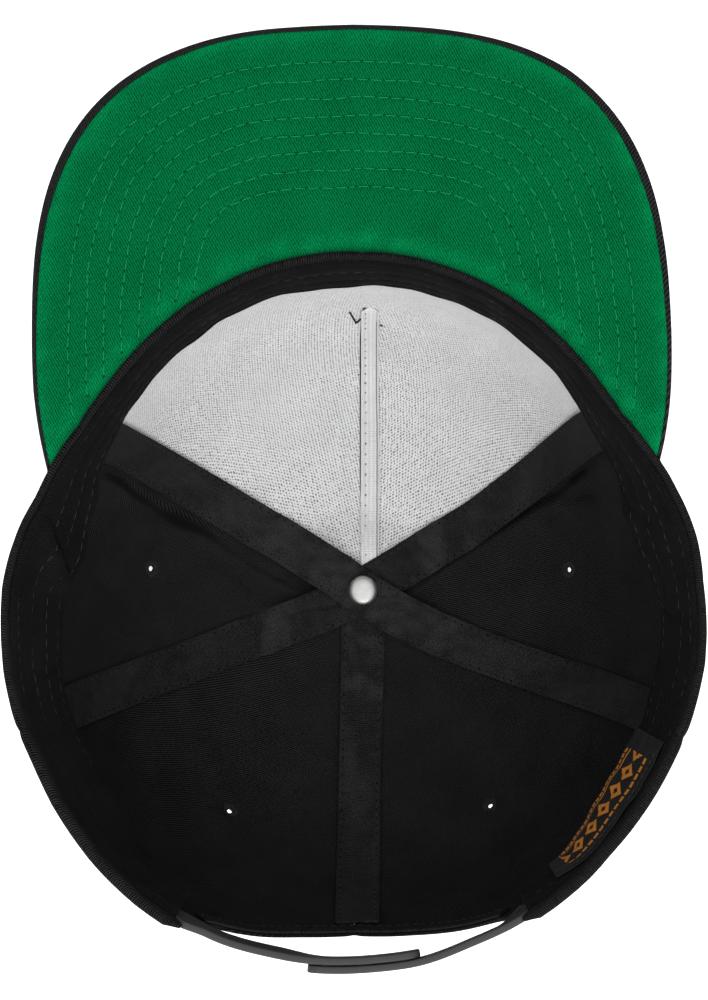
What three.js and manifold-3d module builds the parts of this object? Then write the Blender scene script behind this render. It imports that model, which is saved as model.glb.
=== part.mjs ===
// Snapback cap lying upside down on its flattened crown, in millimetres.
// +Y points to the visor, +X to the wearer's left, +Z out of the open underside.
// Azimuths are degrees about the crown's middle, from +Y towards +X.
import * as THREE from 'three';
import { mergeVertices } from 'three/addons/utils/BufferGeometryUtils.js';
import Module from 'manifold-3d';

const wasm = await Module();
wasm.setup();

// Crown
const rimWidth = 204.2;
const rimLength = 210;
const crownHeight = 105; // flattened top to rim
const wallHeight = 30; // upright stretch below the rim
const panelThickness = 1.2;
const hemThickness = 2.6;
const hemWidth = 11;
const buttonShift = 2.2; // the button sits this far off the middle, to the wearer's left
const seams = { front: 1.3, frontLeft: 55.3, rearLeft: 112.7, back: 180, rearRight: -111.4, frontRight: -57.8 };

// Opening at the back
const archHalfAngle = 28;
const archHeight = 48;
const bindingWidth = 4.8;
const bindingThickness = 1;

// Layers inside the crown
const clearance = 0.35;
const seamGap = 0.3;
const buckramThickness = 1;
const tapeWidth = 14;
const tapeThickness = 1;
const tapeBunch = 0.6; // extra rise of the tapes where they cross at the button
const stripWidth = 5.9;
const stripThickness = 0.8;
const sweatbandWidth = 32;
const sweatbandThickness = 1.4;
const sweatbandDrop = 0.6; // below the rim
const labelThickness = 0.6;

// Visor
const visorWidth = 184;
const visorTip = 165.5; // ahead of the crown's middle
const visorShoulder = 75; // where the visor is widest, ahead of the crown's middle
const visorRoundness = 2.75; // exponent of the outline's superellipse
const visorRearInset = 2.8; // how much narrower the outline is at the crown
const visorEndAngle = 65;
const visorTilt = 8; // degrees that the tip rises
const visorDrop = 1.2; // underside below the rim, at the crown
const visorThickness = 2.2;
const visorUnderThickness = 0.8;
const rollWidth = 1.9; // rolled edge of the top cover

// Closure straps
const strapWidth = 19;
const strapThickness = 2;
const strapCorner = 3.5;
const strapTongue = 8; // length sewn in behind the sweatband
const strapLean = 2; // lower edge further out than the rim edge, at the middle
const strapRootLean = -2.6; // the same where the strap is sewn in
const strapInset = 2.1; // strap's middle in from the rim line, at the middle
const pegPitch = 10;
const pegCount = 7;
const pegsFastened = 3;
const pegDiameter = 4.4;
const pegMargin = 6.5; // strap end to first peg or hole
const pegHeight = 1.85;

// Button, rivet and eyelets
const buttonDiameter = 14;
const buttonHeight = 5;
const stemDiameter = 4.2;
const dimpleInnerRadius = 12;
const dimpleOuterRadius = 27;
const rivetDiameter = 9.2;
const rivetHeight = 2.9;
const eyeletDiameter = 6;
const eyeletHole = 2.6;
const eyeletThickness = 1.9;

// Crown sections by azimuth. rim: share of the rim ellipse; wall and flat: shares of the rim radius at the
// wall's foot and at the edge of the flattened top; band: sweatband's lower edge in from the wall, as a
// share of the sweatband's width.
const sections = [
  { azimuth: 0, rim: 0.968, wall: 0.962, flat: 0.53, band: 0.092 },
  { azimuth: 25, rim: 0.953, wall: 0.965, flat: 0.51, band: 0.1 },
  { azimuth: 48, rim: 0.925, wall: 0.97, flat: 0.46, band: 0.125 },
  { azimuth: 58, rim: 0.925, wall: 0.97, flat: 0.43, band: 0.15 },
  { azimuth: 70, rim: 0.951, wall: 0.962, flat: 0.4, band: 0.28 },
  { azimuth: 80, rim: 0.982, wall: 0.952, flat: 0.385, band: 0.31 },
  { azimuth: 90, rim: 0.998, wall: 0.942, flat: 0.375, band: 0.17 },
  { azimuth: 105, rim: 1.015, wall: 0.94, flat: 0.36, band: 0.14 },
  { azimuth: 120, rim: 1.02, wall: 0.945, flat: 0.35, band: 0.12 },
  { azimuth: 140, rim: 1.033, wall: 0.975, flat: 0.34, band: 0.11 },
  { azimuth: 160, rim: 1.036, wall: 0.975, flat: 0.33, band: 0.11 },
  { azimuth: 180, rim: 1.032, wall: 0.97, flat: 0.33, band: 0.11 },
];

// Soft dents in the crown. stretch: where on the meridian, 1 to 2 on the shoulder and 2 to 3 on the wall;
// spread: half-width in degrees; reach: half-length along the meridian; depth: share of the crown's height.
const dents = [
  { azimuth: -68, stretch: 1.75, spread: 7, reach: 0.3, depth: 0.026 },
  { azimuth: 72, stretch: 1.7, spread: 8, reach: 0.3, depth: 0.02 },
  { azimuth: -135, stretch: 1.8, spread: 14, reach: 0.35, depth: 0.014 },
  { azimuth: 140, stretch: 1.7, spread: 12, reach: 0.3, depth: 0.014 },
];

// Cloth holes for air. along: plan distance from the button, as a share of the rim's half-width.
const eyelets = [
  { name: 'eyelet_side_left', azimuth: 83.6, along: 0.655 },
  { name: 'eyelet_side_right', azimuth: -83.6, along: 0.655 },
  { name: 'eyelet_rear_left', azimuth: 149.1, along: 0.775 },
  { name: 'eyelet_rear_right', azimuth: -149.1, along: 0.775 },
];

// Patch on the sweatband's inner face
const label = { from: 116, to: 143.3, top: 0.1, bottom: 0.94 };

// Grid densities
const panelColumns = 8;
const archColumns = 6;
const rearColumns = 5;
const shoulderRows = 7;
const visorColumns = 28;
const roundSides = 16;
const ringSides = 12;

const wallFoot = crownHeight - wallHeight;
const stemHole = stemDiameter / 2 + clearance;
const tapeStep = tapeThickness + clearance;
const lining = panelThickness + clearance; // first layer inside the panels
const overBuckram = lining + buckramThickness + clearance;

const rad = THREE.MathUtils.degToRad;
const deg = THREE.MathUtils.radToDeg;
const { smoothstep, lerp } = THREE.MathUtils;

const material = (color, roughness, metalness = 0) =>
  new THREE.MeshStandardMaterial({ color, roughness, metalness, side: THREE.DoubleSide });
const blackTwill = material(0x17171a, 0.9);
const greenTwill = material(0x07673a, 0.85);
const blackTape = material(0x222225, 0.85);
const whiteBuckram = material(0xc6c6c6, 0.95);
const blackPlastic = material(0x2b2b2d, 0.45);
const nickel = material(0xb8b8ba, 0.3, 1);
const labelWeave = material(0x1c1a18, 0.8);

function shareAt(column, azimuth) {
  const wrapped = Math.abs(THREE.MathUtils.euclideanModulo(azimuth + 180, 360) - 180);
  let k = 0;
  while (k < sections.length - 2 && wrapped > sections[k + 1].azimuth) k++;
  const slope = (n) => {
    if (n === 0 || n === sections.length - 1) return 0;
    const before = sections[n - 1];
    const after = sections[n + 1];
    return (after[column] - before[column]) / (after.azimuth - before.azimuth);
  };
  const a = sections[k];
  const b = sections[k + 1];
  const span = b.azimuth - a.azimuth;
  const t = (wrapped - a.azimuth) / span;
  const t2 = t * t;
  const t3 = t2 * t;
  return (2 * t3 - 3 * t2 + 1) * a[column] + (t3 - 2 * t2 + t) * span * slope(k)
    + (3 * t2 - 2 * t3) * b[column] + (t3 - t2) * span * slope(k + 1);
}

function rimRadius(azimuth) {
  const across = Math.sin(rad(azimuth)) / (rimWidth / 2);
  const ahead = Math.cos(rad(azimuth)) / (rimLength / 2);
  return shareAt('rim', azimuth) / Math.hypot(across, ahead);
}

const flatRadius = (azimuth) => rimRadius(azimuth) * shareAt('flat', azimuth);
const dimple = (radius) => buttonHeight * (1 - smoothstep(radius, dimpleInnerRadius, dimpleOuterRadius));

function dentAt(azimuth, stretch) {
  let depth = 0;
  for (const dent of dents) {
    const turn = THREE.MathUtils.euclideanModulo(azimuth - dent.azimuth + 180, 360) - 180;
    const away = (turn / dent.spread) ** 2 + ((stretch - dent.stretch) / dent.reach) ** 2;
    depth += dent.depth * crownHeight * Math.exp(-away);
  }
  return depth;
}

// Plan radius and height of the crown's outer face. stretch: 0 to 1 on the flattened top,
// 1 to 2 round the shoulder, 2 to 3 up the wall.
function meridian(azimuth, stretch) {
  const rim = rimRadius(azimuth);
  const foot = rim * shareAt('wall', azimuth);
  const flat = flatRadius(azimuth);
  if (stretch <= 1) return { radius: flat * stretch, height: 0, rim };
  if (stretch <= 2) {
    const turn = (stretch - 1) * Math.PI / 2;
    const fade = Math.min(1, (stretch - 1) * 4);
    const radius = flat + (foot - flat) * Math.sin(turn) - dentAt(azimuth, stretch) * fade;
    return { radius, height: wallFoot * (1 - Math.cos(turn)), rim };
  }
  const rise = stretch - 2;
  const radius = foot + (rim - foot) * rise ** 1.4 - dentAt(azimuth, stretch) * (1 - rise);
  return { radius, height: wallFoot + wallHeight * rise, rim };
}

function crownPlace(azimuth, stretch) {
  const { radius, height, rim } = meridian(azimuth, stretch);
  const lift = stretch <= 1 ? dimple(radius) : 0;
  const x = buttonShift * (1 - radius / rim) + radius * Math.sin(rad(azimuth));
  return new THREE.Vector3(x, radius * Math.cos(rad(azimuth)), height + lift);
}

function inward(azimuth, stretch) {
  if (stretch <= 1) return new THREE.Vector3(0, 0, 1);
  const step = 0.01;
  const up = crownPlace(azimuth, Math.min(3, stretch + step)).sub(crownPlace(azimuth, stretch - step));
  const around = crownPlace(azimuth + 1, stretch).sub(crownPlace(azimuth - 1, stretch));
  return around.cross(up).normalize();
}

// Point on the crown, set in from the outer face
function crownPoint(azimuth, stretch, inset) {
  return crownPlace(azimuth, stretch).addScaledVector(inward(azimuth, stretch), inset);
}

function stretchAtHeight(height) {
  if (height >= wallFoot) return 2 + (height - wallFoot) / wallHeight;
  return 1 + Math.acos(1 - height / wallFoot) / (Math.PI / 2);
}

// Highest point of the cloth at an azimuth: the rim, or the edge of the back opening
function clothTop(azimuth) {
  const fromBack = 180 - Math.abs(azimuth);
  if (fromBack >= archHalfAngle) return 3;
  const drop = archHeight * Math.sqrt(1 - (fromBack / archHalfAngle) ** 2);
  return stretchAtHeight(crownHeight - drop);
}

// Rows of a crown meridian, from the button outwards
const hemStart = 3 - hemWidth / wallHeight;
const dimpleRows = [dimpleInnerRadius, 16, 20, 23.5, dimpleOuterRadius];
function crownRows(azimuth) {
  const flat = flatRadius(azimuth);
  const rows = [stemHole / flat, ...dimpleRows.map((radius) => radius / flat)];
  for (let k = 0; k <= shoulderRows; k++) rows.push(1 + k / shoulderRows);
  rows.push(2 + (hemStart - 2) / 2, hemStart - 0.03, hemStart, 3);
  const top = clothTop(azimuth);
  return rows.map((stretch) => (stretch > 1 ? 1 + (stretch - 1) * (top - 1) / 2 : stretch));
}
const rowCount = crownRows(0).length - 1;

// Closed sheet from a grid of places on its two faces
function sheet(columns, rows, place) {
  const positions = [];
  const index = [];
  for (const face of [0, 1]) {
    for (let i = 0; i <= columns; i++) {
      for (let j = 0; j <= rows; j++) positions.push(...place(i, j, face).toArray());
    }
  }
  const at = (i, j, face) => (face * (columns + 1) + i) * (rows + 1) + j;
  const quad = (a, b, c, d) => index.push(a, b, c, a, c, d);
  for (let i = 0; i < columns; i++) {
    for (let j = 0; j < rows; j++) {
      quad(at(i, j, 0), at(i + 1, j, 0), at(i + 1, j + 1, 0), at(i, j + 1, 0));
      quad(at(i, j, 1), at(i, j + 1, 1), at(i + 1, j + 1, 1), at(i + 1, j, 1));
    }
    quad(at(i, 0, 0), at(i, 0, 1), at(i + 1, 0, 1), at(i + 1, 0, 0));
    quad(at(i, rows, 0), at(i + 1, rows, 0), at(i + 1, rows, 1), at(i, rows, 1));
  }
  for (let j = 0; j < rows; j++) {
    quad(at(0, j, 0), at(0, j + 1, 0), at(0, j + 1, 1), at(0, j, 1));
    quad(at(columns, j, 0), at(columns, j, 1), at(columns, j + 1, 1), at(columns, j + 1, 0));
  }
  const geometry = new THREE.BufferGeometry();
  geometry.setAttribute('position', new THREE.Float32BufferAttribute(positions, 3));
  geometry.setIndex(signedVolume(positions, index) < 0 ? index.reverse() : index);
  return geometry;
}

function signedVolume(positions, index) {
  const corner = (n) => new THREE.Vector3().fromArray(positions, index[n] * 3);
  let volume = 0;
  for (let n = 0; n < index.length; n += 3) volume += corner(n).dot(corner(n + 1).cross(corner(n + 2))) / 6;
  return volume;
}

function toSolid(geometry) {
  const plain = geometry.clone();
  plain.deleteAttribute('normal');
  plain.deleteAttribute('uv');
  const merged = mergeVertices(plain, 1e-4);
  const vertProperties = Float32Array.from(merged.getAttribute('position').array);
  const triVerts = Uint32Array.from(merged.getIndex().array);
  return new wasm.Manifold(new wasm.Mesh({ numProp: 3, vertProperties, triVerts }));
}

function fromSolid(solid) {
  const { vertProperties, triVerts } = solid.getMesh();
  const geometry = new THREE.BufferGeometry();
  geometry.setAttribute('position', new THREE.BufferAttribute(vertProperties, 3));
  geometry.setIndex(new THREE.BufferAttribute(triVerts, 1));
  return geometry;
}

const cutAll = (geometry, tools) =>
  fromSolid(tools.reduce((solid, tool) => solid.subtract(toSolid(tool)), toSolid(geometry)));
const joinAll = (geometry, pieces) =>
  fromSolid(pieces.reduce((solid, piece) => solid.add(toSolid(piece)), toSolid(geometry)));

// Cylinder of a given length centred on a point, along a direction
function rod(centre, direction, diameter, length, sides) {
  const geometry = new THREE.CylinderGeometry(diameter / 2, diameter / 2, length, sides);
  const turn = new THREE.Quaternion().setFromUnitVectors(new THREE.Vector3(0, 1, 0), direction);
  return geometry.applyQuaternion(turn).translate(centre.x, centre.y, centre.z);
}

const cap = new THREE.Group();
function add(name, geometry, finish) {
  const mesh = new THREE.Mesh(geometry, finish);
  mesh.name = name;
  cap.add(mesh);
  return mesh;
}

// Azimuth of a panel column at one row, with the seam gap kept at both edges
function columnAzimuth(azimuths, i, azimuth, radius) {
  const toward = Math.sign(azimuths.at(-1) - azimuths[0]);
  const gap = toward * deg(seamGap / 2 / radius);
  if (i === 0) return azimuth + gap;
  if (i === azimuths.length - 1) return azimuth - gap;
  return azimuth;
}

function spread(from, to, columns) {
  return Array.from({ length: columns + 1 }, (_, i) => lerp(from, to, i / columns));
}

function archAzimuths(rearSeam) {
  const side = Math.sign(rearSeam);
  const archStart = 180 - archHalfAngle;
  const azimuths = spread(Math.abs(rearSeam), archStart, rearColumns);
  for (let k = 1; k <= archColumns; k++) {
    azimuths.push(180 - archHalfAngle * Math.cos(k / archColumns * Math.PI / 2));
  }
  return azimuths.map((azimuth) => side * azimuth);
}

function crownSheet(azimuths, firstRow, lastRow, outer, thickness) {
  return sheet(azimuths.length - 1, lastRow - firstRow, (i, j, face) => {
    const nominal = azimuths[i];
    const stretch = crownRows(nominal)[j + firstRow];
    const azimuth = columnAzimuth(azimuths, i, nominal, meridian(nominal, stretch).radius);
    return crownPoint(azimuth, stretch, outer + face * thickness(nominal, stretch));
  });
}

function eyeletFrame(eyelet) {
  const flat = flatRadius(eyelet.azimuth);
  const foot = rimRadius(eyelet.azimuth) * shareAt('wall', eyelet.azimuth);
  const radius = eyelet.along * rimWidth / 2;
  const stretch = 1 + Math.asin((radius - flat) / (foot - flat)) / (Math.PI / 2);
  const centre = crownPoint(eyelet.azimuth, stretch, panelThickness / 2);
  return { centre, axis: inward(eyelet.azimuth, stretch) };
}

// Crown panels, hemmed at the rim
function addPanels() {
  const hemmed = (azimuth, stretch) => {
    const inHem = 180 - Math.abs(azimuth) >= archHalfAngle && stretch > hemStart - 0.01;
    return inHem ? hemThickness : panelThickness;
  };
  const panels = [
    { name: 'front_panel_left', azimuths: spread(seams.front, seams.frontLeft, panelColumns) },
    { name: 'front_panel_right', azimuths: spread(seams.front, seams.frontRight, panelColumns) },
    { name: 'side_panel_left', azimuths: spread(seams.frontLeft, seams.rearLeft, panelColumns) },
    { name: 'side_panel_right', azimuths: spread(seams.frontRight, seams.rearRight, panelColumns) },
    { name: 'back_panel_left', azimuths: archAzimuths(seams.rearLeft) },
    { name: 'back_panel_right', azimuths: archAzimuths(seams.rearRight) },
  ];
  for (const { name, azimuths } of panels) {
    const cloth = crownSheet(azimuths, 0, rowCount, 0, hemmed);
    const low = Math.min(azimuths[0], azimuths.at(-1));
    const high = Math.max(azimuths[0], azimuths.at(-1));
    const holes = eyelets.filter(({ azimuth }) => azimuth > low && azimuth < high).map((eyelet) => {
      const { centre, axis } = eyeletFrame(eyelet);
      return rod(centre, axis, eyeletDiameter + 2 * clearance, 4 * panelThickness + eyeletThickness, ringSides);
    });
    add(name, holes.length ? cutAll(cloth, holes) : cloth, blackTwill);
  }
}

// Sewn ring in each air hole
function addEyelets() {
  for (const eyelet of eyelets) {
    const { centre, axis } = eyeletFrame(eyelet);
    const outer = eyeletDiameter / 2;
    const hole = eyeletHole / 2;
    const half = eyeletThickness / 2;
    const round = half * 0.6;
    const profile = [[hole, -half + round], [hole + round, -half], [outer, -round / 2], [outer, round / 2],
      [hole + round, half], [hole, half - round], [hole, -half + round]];
    const ring = new THREE.LatheGeometry(profile.map(([x, y]) => new THREE.Vector2(x, y)), ringSides);
    const mesh = add(eyelet.name, ring, blackTape);
    mesh.quaternion.setFromUnitVectors(new THREE.Vector3(0, 1, 0), axis);
    mesh.position.copy(centre);
  }
}

// Stiff white cloth behind the two front panels
function addBuckram() {
  const lastRow = dimpleRows.length + shoulderRows + 2;
  const even = () => buckramThickness;
  const left = spread(seams.front, seams.frontLeft, panelColumns);
  const right = spread(seams.front, seams.frontRight, panelColumns);
  add('buckram_left', crownSheet(left, 2, lastRow, lining, even), whiteBuckram);
  add('buckram_right', crownSheet(right, 2, lastRow, lining, even), whiteBuckram);
}

// Point on a strip that follows a meridian, across millimetres to its side
function stripPoint(azimuth, stretch, across, inset) {
  const flat = flatRadius(azimuth);
  const along = stretch * flat;
  if (stretch < 1) {
    const radius = Math.hypot(along, across);
    const turn = rad(azimuth);
    const x = along * Math.sin(turn) + across * Math.cos(turn) + buttonShift * (1 - radius / rimRadius(azimuth));
    const y = along * Math.cos(turn) - across * Math.sin(turn);
    return new THREE.Vector3(x, y, dimple(radius) + inset);
  }
  const { radius } = meridian(azimuth, stretch);
  return crownPoint(azimuth + deg(Math.atan2(across, radius)), stretch, inset);
}

// Stations of a half tape, from the button to its outer end
function tapeRows(azimuth, end) {
  const rows = crownRows(azimuth).slice(1).filter((stretch) => stretch < end - 0.02);
  return [...rows, end];
}

// Tapes lie over each other at the button and come down to the seams further out
function tapeInset(centreInset, seamInset, azimuth, stretch) {
  const along = Math.abs(stretch) * flatRadius(azimuth);
  return lerp(centreInset, seamInset, smoothstep(along, tapeWidth, 2.2 * tapeWidth));
}

function addTape(name, halves, centreInset) {
  const stations = [];
  for (const [n, half] of halves.entries()) {
    const rows = tapeRows(half.azimuth, half.end).map((stretch) => ({ ...half, stretch, side: n ? 1 : -1 }));
    stations.push(...(n ? rows : rows.reverse()));
  }
  if (halves.length === 1) stations.push({ ...stations.at(-1), stretch: -tapeWidth / 2 / flatRadius(halves[0].azimuth) });
  const tape = sheet(stations.length - 1, 2, (i, j, face) => {
    const { azimuth, stretch, side, seamInset } = stations[i];
    const across = side * (j - 1) * tapeWidth / 2;
    const inset = tapeInset(centreInset, seamInset, azimuth, stretch) + face * tapeThickness;
    return stripPoint(azimuth, stretch, across, inset);
  });
  const middle = new THREE.Vector3(buttonShift, 0, crownHeight / 8);
  const hole = rod(middle, new THREE.Vector3(0, 0, 1), 2 * stemHole, crownHeight / 4, roundSides);
  add(name, cutAll(tape, [hole]), blackTape);
}

function addTapes() {
  const end = stretchAtHeight(crownHeight - sweatbandDrop - sweatbandWidth + 3);
  const archTop = stretchAtHeight(crownHeight - archHeight - bindingWidth - 1.2);
  const lowest = lining + tapeBunch;
  addTape('seam_tape_back', [{ azimuth: seams.back, end: archTop, seamInset: lining + clearance }], lowest);
  addTape('seam_tape_front_left_rear_right', [
    { azimuth: seams.frontLeft, end, seamInset: overBuckram },
    { azimuth: seams.rearRight, end, seamInset: lining },
  ], lowest + tapeStep);
  addTape('seam_tape_front_right_rear_left', [
    { azimuth: seams.frontRight, end, seamInset: overBuckram },
    { azimuth: seams.rearLeft, end, seamInset: lining },
  ], lowest + 2 * tapeStep);
}

// Narrow white strip beside the front seam
function addFrontStrip() {
  const start = (tapeWidth / 2 + stripWidth) / flatRadius(seams.front);
  const end = 1.62;
  const rows = [start, ...crownRows(seams.front).filter((stretch) => stretch > start + 0.03 && stretch < end - 0.03), end];
  const strip = sheet(rows.length - 1, 1, (i, j, face) =>
    stripPoint(seams.front, rows[i], j * stripWidth, overBuckram + clearance / 2 + face * stripThickness));
  add('front_seam_strip', strip, whiteBuckram);
}

const tongueStart = 180 - archHalfAngle - deg(strapTongue / rimRadius(180 - archHalfAngle));
const tongueStep = strapThickness + 2 * clearance;
const bandRows = [0, 0.3, 0.6, 1];

// Sweatband columns from the front seam to its end on one side
function bandAzimuths(side) {
  const [frontSeam, rearSeam] = side > 0 ? [seams.frontLeft, seams.rearLeft] : [-seams.frontRight, -seams.rearRight];
  const azimuths = [
    ...spread(side * seams.front, frontSeam, panelColumns),
    ...spread(frontSeam, rearSeam, panelColumns).slice(1),
    ...spread(rearSeam, tongueStart - 4, 4).slice(1),
    tongueStart - 0.5,
    180 - archHalfAngle - 1,
  ];
  return azimuths.map((azimuth) => side * azimuth);
}

// Point on the sweatband's outer face. down: 0 at the rim to 1 at the free edge
function sweatbandPoint(azimuth, down, inset) {
  const height = crownHeight - sweatbandDrop - down * sweatbandWidth;
  const atRim = hemThickness + clearance;
  const atEdge = shareAt('band', azimuth) * sweatbandWidth;
  const overTongue = smoothstep(Math.abs(azimuth), tongueStart - 4, tongueStart - 0.5) * tongueStep;
  const set = lerp(atRim, Math.max(atRim, atEdge), down ** 0.8) + overTongue + inset;
  return crownPoint(azimuth, stretchAtHeight(height), set);
}

function addSweatband() {
  const azimuths = [...bandAzimuths(-1).slice(1).reverse(), ...bandAzimuths(1)];
  const band = sheet(azimuths.length - 1, bandRows.length - 1, (i, j, face) =>
    sweatbandPoint(azimuths[i], bandRows[j], face * sweatbandThickness));
  add('sweatband', band, blackTape);
}

function addLabel() {
  const between = (list, low, high) => [low, ...list.filter((value) => value > low && value < high), high];
  const azimuths = between(bandAzimuths(1), label.from, label.to);
  const rows = between(bandRows, label.top, label.bottom);
  const patch = sheet(azimuths.length - 1, rows.length - 1, (i, j, face) =>
    sweatbandPoint(azimuths[i], rows[j], sweatbandThickness + clearance + face * labelThickness));
  add('label', patch, labelWeave);
}

// Narrow facing inside the edge of the back opening
function addBinding() {
  const columns = 14;
  const endTurn = Math.asin((strapWidth + bindingWidth) / archHeight);
  const widen = deg(bindingWidth / rimRadius(180));
  const binding = sheet(columns, 1, (i, j, face) => {
    const turn = lerp(endTurn, Math.PI - endTurn, i / columns);
    const azimuth = 180 + (archHalfAngle + 0.2 + j * widen) * Math.cos(turn);
    const height = crownHeight - (archHeight + 0.3 + j * bindingWidth) * Math.sin(turn);
    return crownPoint(azimuth, stretchAtHeight(height), lining + clearance + face * bindingThickness);
  });
  add('opening_binding', binding, blackTape);
}

// Distance from the crown's middle to the visor's outline
function visorReach(azimuth) {
  const halfWidth = visorWidth / 2;
  const inside = (reach) => {
    const x = Math.abs(reach * Math.sin(rad(azimuth)));
    const ahead = reach * Math.cos(rad(azimuth)) - visorShoulder;
    if (ahead < 0) return x < halfWidth - visorRearInset * (ahead / visorShoulder * 2) ** 2;
    return (x / halfWidth) ** visorRoundness + (ahead / (visorTip - visorShoulder)) ** visorRoundness < 1;
  };
  let low = rimRadius(azimuth);
  let high = 2 * visorTip;
  for (let k = 0; k < 40; k++) {
    const middle = (low + high) / 2;
    if (inside(middle)) low = middle;
    else high = middle;
  }
  return low;
}

function visorPoint(azimuth, reach, height) {
  const ahead = reach - rimRadius(azimuth);
  const z = crownHeight - visorDrop + Math.tan(rad(visorTilt)) * ahead + height;
  return new THREE.Vector3(reach * Math.sin(rad(azimuth)), reach * Math.cos(rad(azimuth)), z);
}

// Black top cover, which rolls round the edge, and the green cover inside the roll
function addVisor() {
  const azimuths = spread(-visorEndAngle, visorEndAngle, visorColumns);
  const underTop = 0;
  const underBase = underTop - visorUnderThickness;
  const coverTop = underBase - clearance;
  const coverBase = coverTop - visorThickness;
  const middle = (underTop + coverBase) / 2;
  const roll = [
    { fromEdge: rollWidth, top: coverTop, base: coverBase },
    { fromEdge: rollWidth * 0.95, top: underTop - 0.1, base: coverBase },
    { fromEdge: rollWidth * 0.5, top: underTop + 0.25, base: coverBase + 0.15 },
    { fromEdge: rollWidth * 0.1, top: underTop - 0.7, base: coverBase + 0.9 },
    { fromEdge: 0, top: middle + 0.2, base: middle - 0.2 },
  ];
  const inner = [0, 1 / 3, 2 / 3];
  const cover = sheet(visorColumns, inner.length + roll.length - 1, (i, j, face) => {
    const root = rimRadius(azimuths[i]) + clearance;
    const edge = visorReach(azimuths[i]);
    if (j < inner.length) {
      const reach = lerp(root, edge - rollWidth, inner[j]);
      return visorPoint(azimuths[i], reach, face ? coverTop : coverBase);
    }
    const step = roll[j - inner.length];
    const squeeze = Math.min(1, (edge - root) / rollWidth / 1.5);
    return visorPoint(azimuths[i], edge - step.fromEdge * squeeze, face ? step.top : step.base);
  });
  add('visor_top_cover', cover, blackTwill);
  const last = visorEndAngle - 2.2;
  const under = spread(-last, last, visorColumns);
  const rows = [0, 1 / 3, 2 / 3, 1];
  const lining = sheet(visorColumns, rows.length - 1, (i, j, face) => {
    const root = rimRadius(under[i]) + clearance;
    const edge = visorReach(under[i]) - rollWidth - 2 * clearance;
    return visorPoint(under[i], lerp(root, edge, rows[j]), face ? underTop : underBase);
  });
  add('visor_under_cover', lining, greenTwill);
}

// Straps run round the back at the rim. turn: degrees from the middle of the back, to the wearer's right
const strapRadius = rimRadius(180) - strapInset;
const overlapTurn = deg((2 * pegMargin + (pegsFastened - 1) * pegPitch) / strapRadius);
const overlapMiddle = -1.7; // the overlap's middle lies a little to the wearer's left
const pegStep = deg(pegPitch / strapRadius);

function strapCentre(turn, down, layer) {
  const root = smoothstep(Math.abs(turn), 6, archHalfAngle - 2);
  const seated = hemThickness + 2 * clearance + strapThickness / 2;
  const set = lerp(strapInset, seated, root);
  const lean = lerp(strapLean, strapRootLean, root) * down;
  return rimRadius(180 + turn) - set + lean + layer;
}

function strapPlace(turn, down, layer) {
  const radius = strapCentre(turn, down, layer);
  const azimuth = rad(180 + turn);
  const z = crownHeight - 0.5 - down * strapWidth;
  return new THREE.Vector3(radius * Math.sin(azimuth), radius * Math.cos(azimuth), z);
}

// side: 1 for the wearer's right. outside: 1 when the strap lies outside the other
function strapLayer(turn, side, outside) {
  const overlapEdge = -side * overlapMiddle + overlapTurn / 2;
  const fromRoot = smoothstep(side * turn, overlapEdge + 1, overlapEdge + 13);
  return outside * (1 - fromRoot) * (strapThickness + clearance) / 2;
}

function strapSheet(side, outside) {
  const tip = overlapMiddle - side * overlapTurn / 2;
  const root = side * (archHalfAngle + deg(strapTongue / rimRadius(180 - archHalfAngle)));
  const corner = [0, 0.12, 0.45, 1].map((share) => tip + side * deg(share * strapCorner / strapRadius));
  const turns = [...corner, ...spread(corner.at(-1), root, 13).slice(1)];
  return sheet(turns.length - 1, 2, (i, j, face) => {
    const fromTip = Math.min(strapCorner, Math.abs(turns[i] - tip) * rad(1) * strapRadius);
    const cut = strapCorner - Math.sqrt(strapCorner ** 2 - (strapCorner - fromTip) ** 2);
    const down = lerp(cut / strapWidth, 1 - cut / strapWidth, j / 2);
    const layer = strapLayer(turns[i], side, outside) + (face - 0.5) * strapThickness;
    return strapPlace(turns[i], down, layer);
  });
}

function fastenerFrame(turn, side, outside) {
  const centre = strapPlace(turn, 0.5, strapLayer(turn, side, outside));
  const axis = new THREE.Vector3(Math.sin(rad(180 + turn)), Math.cos(rad(180 + turn)), 0);
  return { centre, axis };
}

function addStraps() {
  const pegs = [];
  const holes = [];
  const firstPeg = overlapMiddle - overlapTurn / 2 + deg(pegMargin / strapRadius);
  const firstHole = overlapMiddle + overlapTurn / 2 - deg(pegMargin / strapRadius);
  for (let k = 0; k < pegCount; k++) {
    const peg = fastenerFrame(firstPeg + k * pegStep, 1, -1);
    const length = strapThickness / 2 + pegHeight;
    pegs.push(rod(peg.centre.addScaledVector(peg.axis, length / 2), peg.axis, pegDiameter, length, 12));
    const hole = fastenerFrame(firstHole - k * pegStep, -1, 1);
    holes.push(rod(hole.centre, hole.axis, pegDiameter + 2 * clearance, 3 * strapThickness, 12));
  }
  add('strap_with_pegs', joinAll(strapSheet(1, -1), pegs), blackPlastic);
  add('strap_with_holes', cutAll(strapSheet(-1, 1), holes), blackPlastic);
}

function lathe(profile) {
  const geometry = new THREE.LatheGeometry(profile.map(([x, y]) => new THREE.Vector2(x, y)), roundSides);
  return geometry.rotateX(Math.PI / 2).translate(buttonShift, 0, 0);
}

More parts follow.
